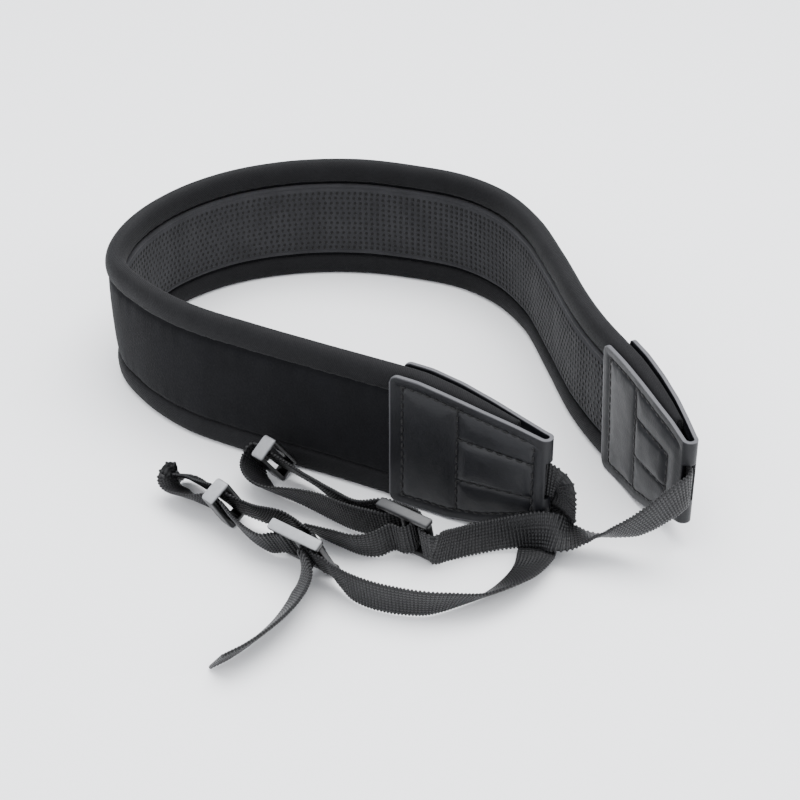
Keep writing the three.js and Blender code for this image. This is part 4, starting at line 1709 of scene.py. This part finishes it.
@dataclass
class Studio:
    """A pale floor, soft light and the camera.

    Args:
        layout: ties the camera's aim to the strap.
        elevation: the camera's height above the horizon, in degrees.
        distance: from the camera to the point it aims at, in metres.
        lens: focal length in millimetres on a 36 mm sensor.
        drop: how far the floor lies below the strap, in metres.
    """

    layout: Layout
    elevation: float = 32.0
    distance: float = 0.65
    lens: float = 81.9
    drop: float = 2e-5

    def floor(self) -> None:
        """A wide pale floor, a hair below the strap."""
        corners = [(x, y, -self.drop) for x, y in ((-3, -3), (3, -3), (3, 5), (-3, 5))]
        mesh = mesh_of("floor", np.array(corners), [(0, 1, 2, 3)])
        s = Shader("floor_paper")
        tone = s.noise(0.4, 2.0)
        s.colour(s.mixed(tone, (0.93, 0.935, 0.945), (0.95, 0.952, 0.957)))
        s.fixed(Roughness=0.75, Specular_IOR_Level=0.2)
        mesh.materials.append(s.material)
        new_object("floor", mesh)

    def light(self) -> None:
        """A large soft light above, a fill from the front and a pale room."""
        lamps = (
            ("over", (0.05, 0.15, 1.05), (0.0, 0.0, 0.0), 1.1, 20.0),
            ("front", (-0.55, -0.95, 0.75), (0.0, -0.03, 0.02), 0.7, 5.5),
            ("side", (0.95, -0.2, 0.55), (0.0, 0.0, 0.02), 0.6, 4.5),
        )
        for name, at, aim, size, power in lamps:
            data = bpy.data.lights.new(name, "AREA")
            data.shape = "SQUARE"
            data.size = size
            data.energy = power
            lamp = bpy.data.objects.new(name, data)
            lamp.location = at
            lamp.rotation_euler = (Vector(aim) - Vector(at)).to_track_quat("-Z", "Y").to_euler()
            bpy.context.scene.collection.objects.link(lamp)
        world = bpy.data.worlds.new("room")
        world.use_nodes = True
        background = world.node_tree.nodes["Background"]
        background.inputs["Color"].default_value = (0.93, 0.95, 1.0, 1.0)
        background.inputs["Strength"].default_value = 1.7
        bpy.context.scene.world = world

    def camera(self) -> None:
        """The camera, looking down on the open side."""
        data = bpy.data.cameras.new("camera")
        data.lens = self.lens
        data.sensor_width = 36.0
        data.clip_start = 0.01
        data.clip_end = 50.0
        lift = math.radians(self.elevation)
        aim = Vector(self.layout.shift)
        at = aim + Vector((0.0, -math.cos(lift), math.sin(lift))) * self.distance
        camera = bpy.data.objects.new("camera", data)
        camera.location = at
        camera.rotation_euler = (aim - at).to_track_quat("-Z", "Y").to_euler()
        bpy.context.scene.collection.objects.link(camera)
        bpy.context.scene.camera = camera


# ------------------------------------------------------------------ putting it together

NEAR_BUCKLE = Seat((-29.7, -99.9, 9.0), -38.3, 29)
FAR_BUCKLE = Seat((2.5, -91.2, 9.2), -38.0, 15)
NEAR_KEEPER = Seat((-55.6, -76.8, 9.2), -46, 30)
FAR_KEEPER = Seat((-41.6, -50.6, 9.0), -44, 36)


def near_webbing(layout: Layout) -> Webbing:
    """The strap from the near leather end."""
    return Webbing(
        side=Side.NEAR,
        layout=layout,
        buckle=NEAR_BUCKLE,
        keeper=NEAR_KEEPER,
        turned=1,
        run=(
            (38.6, -81.6, 24.8, 0.0, 0.0, 1.0),
            (46.4, -86.4, 24.8, 0.0, 0.0, 1.0),
            (49.4, -88.3, 24.0, 0.2, -0.3, 0.93),
            (50.7, -88.5, 20.2, 0.35, -0.75, 0.55),
            (50.6, -86.4, 14.4, 0.5, -0.8, 0.25),
            (49.7, -81.2, 8.6, 0.65, -0.72, 0.1),
            (47.2, -80.4, 4.2, 0.9, -0.42, 0.1),
            (45.2, -82.4, 1.9, 0.96, -0.3, 0.06),
            (43.1, -91.6, 1.7, 1.03, -0.18, 0.11),
            (41.4, -99.5, 3.1, 0.83, -0.45, 0.32),
            (37.4, -107.2, 3.8, 0.6, -0.65, 0.45),
            (31.2, -114.6, 4.8, 0.3, -0.75, 0.6),
            (23.8, -119.6, 5.0, 0.05, -0.75, 0.66),
            (14.9, -123.2, 6.0, 0.0, -0.5, 0.87),
            (7.7, -124.6, 6.5, 0.0, -0.3, 0.95),
            (-1.5, -123.2, 6.6, 0.0, -0.2, 0.98),
            (-9.0, -120.4, 6.6, 0.0, -0.2, 0.98),
            (-15.0, -116.4, 6.6, -0.1, -0.2, 0.97),
            (-19.2, -111.8, 7.0, -0.25, -0.3, 0.92),
        ),
        behind=((-5.0, -5.0), (-10.5, -5.4)),
        strand=((-44.5, -82.8, 9.4, -0.33, -0.4, 0.85),),
        loop=(
            (-63.4, -64.8, 7.4, -0.32, -0.6, 0.73),
            (-68.4, -58.4, 6.2, -0.3, -0.76, 0.58),
            (-72.4, -55.6, 5.4, -0.45, -0.7, 0.52),
            (-74.4, -57.8, 4.8, -0.65, -0.6, 0.46),
            (-73.2, -62.6, 4.6, -0.62, -0.62, 0.5),
            (-69.0, -67.2, 5.3, -0.4, -0.72, 0.58),
            (-64.4, -71.6, 6.4, -0.34, -0.6, 0.73),
        ),
        both_in_keeper=True,
        back=(
            (-51.2, -84.6, 6.8, -0.33, -0.4, 0.85),
            (-45.8, -91.2, 6.4, -0.33, -0.4, 0.85),
            (-41.4, -95.2, 7.0, -0.32, -0.4, 0.85),
        ),
        leave=((3.4, 4.8),),
        tail=(
            (-29.6, -107.4, 6.7, 0.1, -0.4, 0.9),
            (-29.6, -113.2, 5.9, 0.5, -0.36, 0.8),
            (-31.2, -120.0, 5.2, 0.55, -0.34, 0.76),
            (-34.7, -128.4, 5.2, 0.55, -0.34, 0.76),
            (-40.5, -137.4, 5.2, 0.55, -0.34, 0.76),
            (-47.0, -145.0, 5.2, 0.55, -0.34, 0.76),
            (-52.4, -149.6, 5.2, 0.55, -0.34, 0.76),
        ),
    )


def far_webbing(layout: Layout) -> Webbing:
    """The strap from the far leather end, with half a twist on its way."""
    return Webbing(
        side=Side.FAR,
        layout=layout,
        buckle=FAR_BUCKLE,
        keeper=FAR_KEEPER,
        turned=-1,
        run=(
            (87.6, -83.0, 24.7, 0.0, 0.0, 1.0),
            (89.3, -88.4, 24.7, 0.0, 0.0, 1.0),
            (88.6, -91.4, 24.4, 0.0, 0.0, 1.0),
            (85.2, -94.2, 23.2, 0.0, 0.0, 1.0),
            (81.1, -96.0, 20.8, 0.0, -0.1, 1.0),
            (76.4, -97.2, 17.6, 0.0, -0.25, 0.96),
            (71.4, -97.0, 14.0, 0.0, -0.45, 0.9),
            (65.7, -95.2, 10.4, 0.0, -0.7, 0.72),
            (60.2, -94.0, 8.9, 0.0, -0.86, 0.5),
            (55.6, -93.9, 8.9, 0.0, -0.98, 0.14),
            (50.8, -93.8, 9.2, 0.0, -0.9, -0.4),
            (45.4, -91.6, 9.3, 0.0, -0.4, -0.9),
            (38.3, -90.6, 8.4, 0.0, -0.05, -1.0),
            (31.0, -90.6, 7.1, 0.0, 0.0, -1.0),
            (22.5, -92.8, 6.7, 0.0, 0.0, -1.0),
            (15.4, -96.6, 7.4, 0.08, 0.1, -0.98),
        ),
        behind=((-5.0, -3.8), (-10.5, -3.0)),
        strand=(
            (-12.4, -79.6, 7.6, 0.2, 0.25, -0.95),
            (-19.8, -71.6, 7.0, 0.3, 0.35, -0.88),
            (-29.4, -60.6, 7.2, 0.45, 0.45, -0.77),
        ),
        loop=(
            (-45.9, -46.2, 8.8, 0.44, 0.42, -0.8),
            (-47.9, -47.4, 7.6, 0.55, 0.44, -0.7),
            (-48.5, -51.0, 5.6, 0.62, 0.45, -0.62),
            (-47.2, -56.4, 5.2, 0.65, 0.5, -0.55),
            (-44.9, -60.8, 5.2, 0.55, 0.58, -0.6),
            (-41.4, -64.2, 5.3, 0.4, 0.62, -0.66),
            (-36.3, -67.0, 5.8, 0.28, 0.55, -0.78),
            (-31.2, -69.8, 6.1, 0.2, 0.45, -0.86),
            (-24.6, -74.4, 6.6, 0.16, 0.3, -0.94),
            (-16.0, -81.6, 7.4, 0.16, 0.22, -0.96),
        ),
        both_in_keeper=False,
        back=(),
        leave=((1.2, 4.3), (-2.5, 4.7)),
        tail=(
            (-7.6, -95.2, 6.6, 0.18, 0.25, -0.95),
            (-13.2, -94.6, 6.0, 0.2, 0.4, -0.9),
            (-20.6, -90.4, 5.6, 0.2, 0.5, -0.84),
            (-27.4, -86.0, 5.0, 0.2, 0.62, -0.75),
        ),
    )


def leather_ends(band: Band, layout: Layout) -> list[LeatherEnd]:
    """Both leather ends with their seams."""
    near = LeatherEnd(
        side=Side.NEAR,
        band=band,
        layout=layout,
        tip=0,
        open_row=5,
        seams=(
            (4.6, 4.4, 4.6, 44.0),
            (24.6, 5.6, 24.6, 42.2),
            (50.6, 13.4, 50.6, 35.4),
            (25.6, 31.6, 49.4, 29.8),
            (25.6, 16.2, 49.4, 17.6),
        ),
        sewn=(26.0, 50.0, 16.8, 31.0),
    )
    far = LeatherEnd(
        side=Side.FAR,
        band=band,
        layout=layout,
        tip=band.last,
        open_row=band.last - 5,
        seams=(
            (4.4, 4.4, 4.4, 44.0),
            (22.0, 6.0, 22.0, 42.8),
            (41.5, 17.0, 41.5, 29.6),
            (23.0, 32.2, 40.8, 29.8),
            (23.0, 18.0, 40.8, 17.2),
        ),
        sewn=(23.0, 41.0, 17.6, 31.0),
    )
    return [near, far]


def main() -> None:
    """Builds the strap and the room in order."""
    layout = Layout()
    band = Band()
    finishes = Finishes.build()
    repeater = Repeater("lay_along")
    studio = Studio(layout)
    studio.camera()
    NeckBand(band, layout).dress(finishes, repeater)
    for end in leather_ends(band, layout):
        end.dress(finishes, repeater)
    for webbing in (near_webbing(layout), far_webbing(layout)):
        webbing.dress(finishes, repeater)
    Buckle(Side.NEAR, NEAR_BUCKLE, layout).dress(finishes)
    # weaker painted highlights on the far buckle and the far keeper
    Buckle(Side.FAR, FAR_BUCKLE, layout, shine=0.08).dress(finishes)
    Keeper(Side.NEAR, NEAR_KEEPER, layout).dress(finishes)
    Keeper(Side.FAR, FAR_KEEPER, layout, shine=0.8).dress(finishes)
    studio.floor()
    studio.light()


if __name__ == "__main__":
    logging.basicConfig(level=logging.INFO, format="%(message)s")
    main()
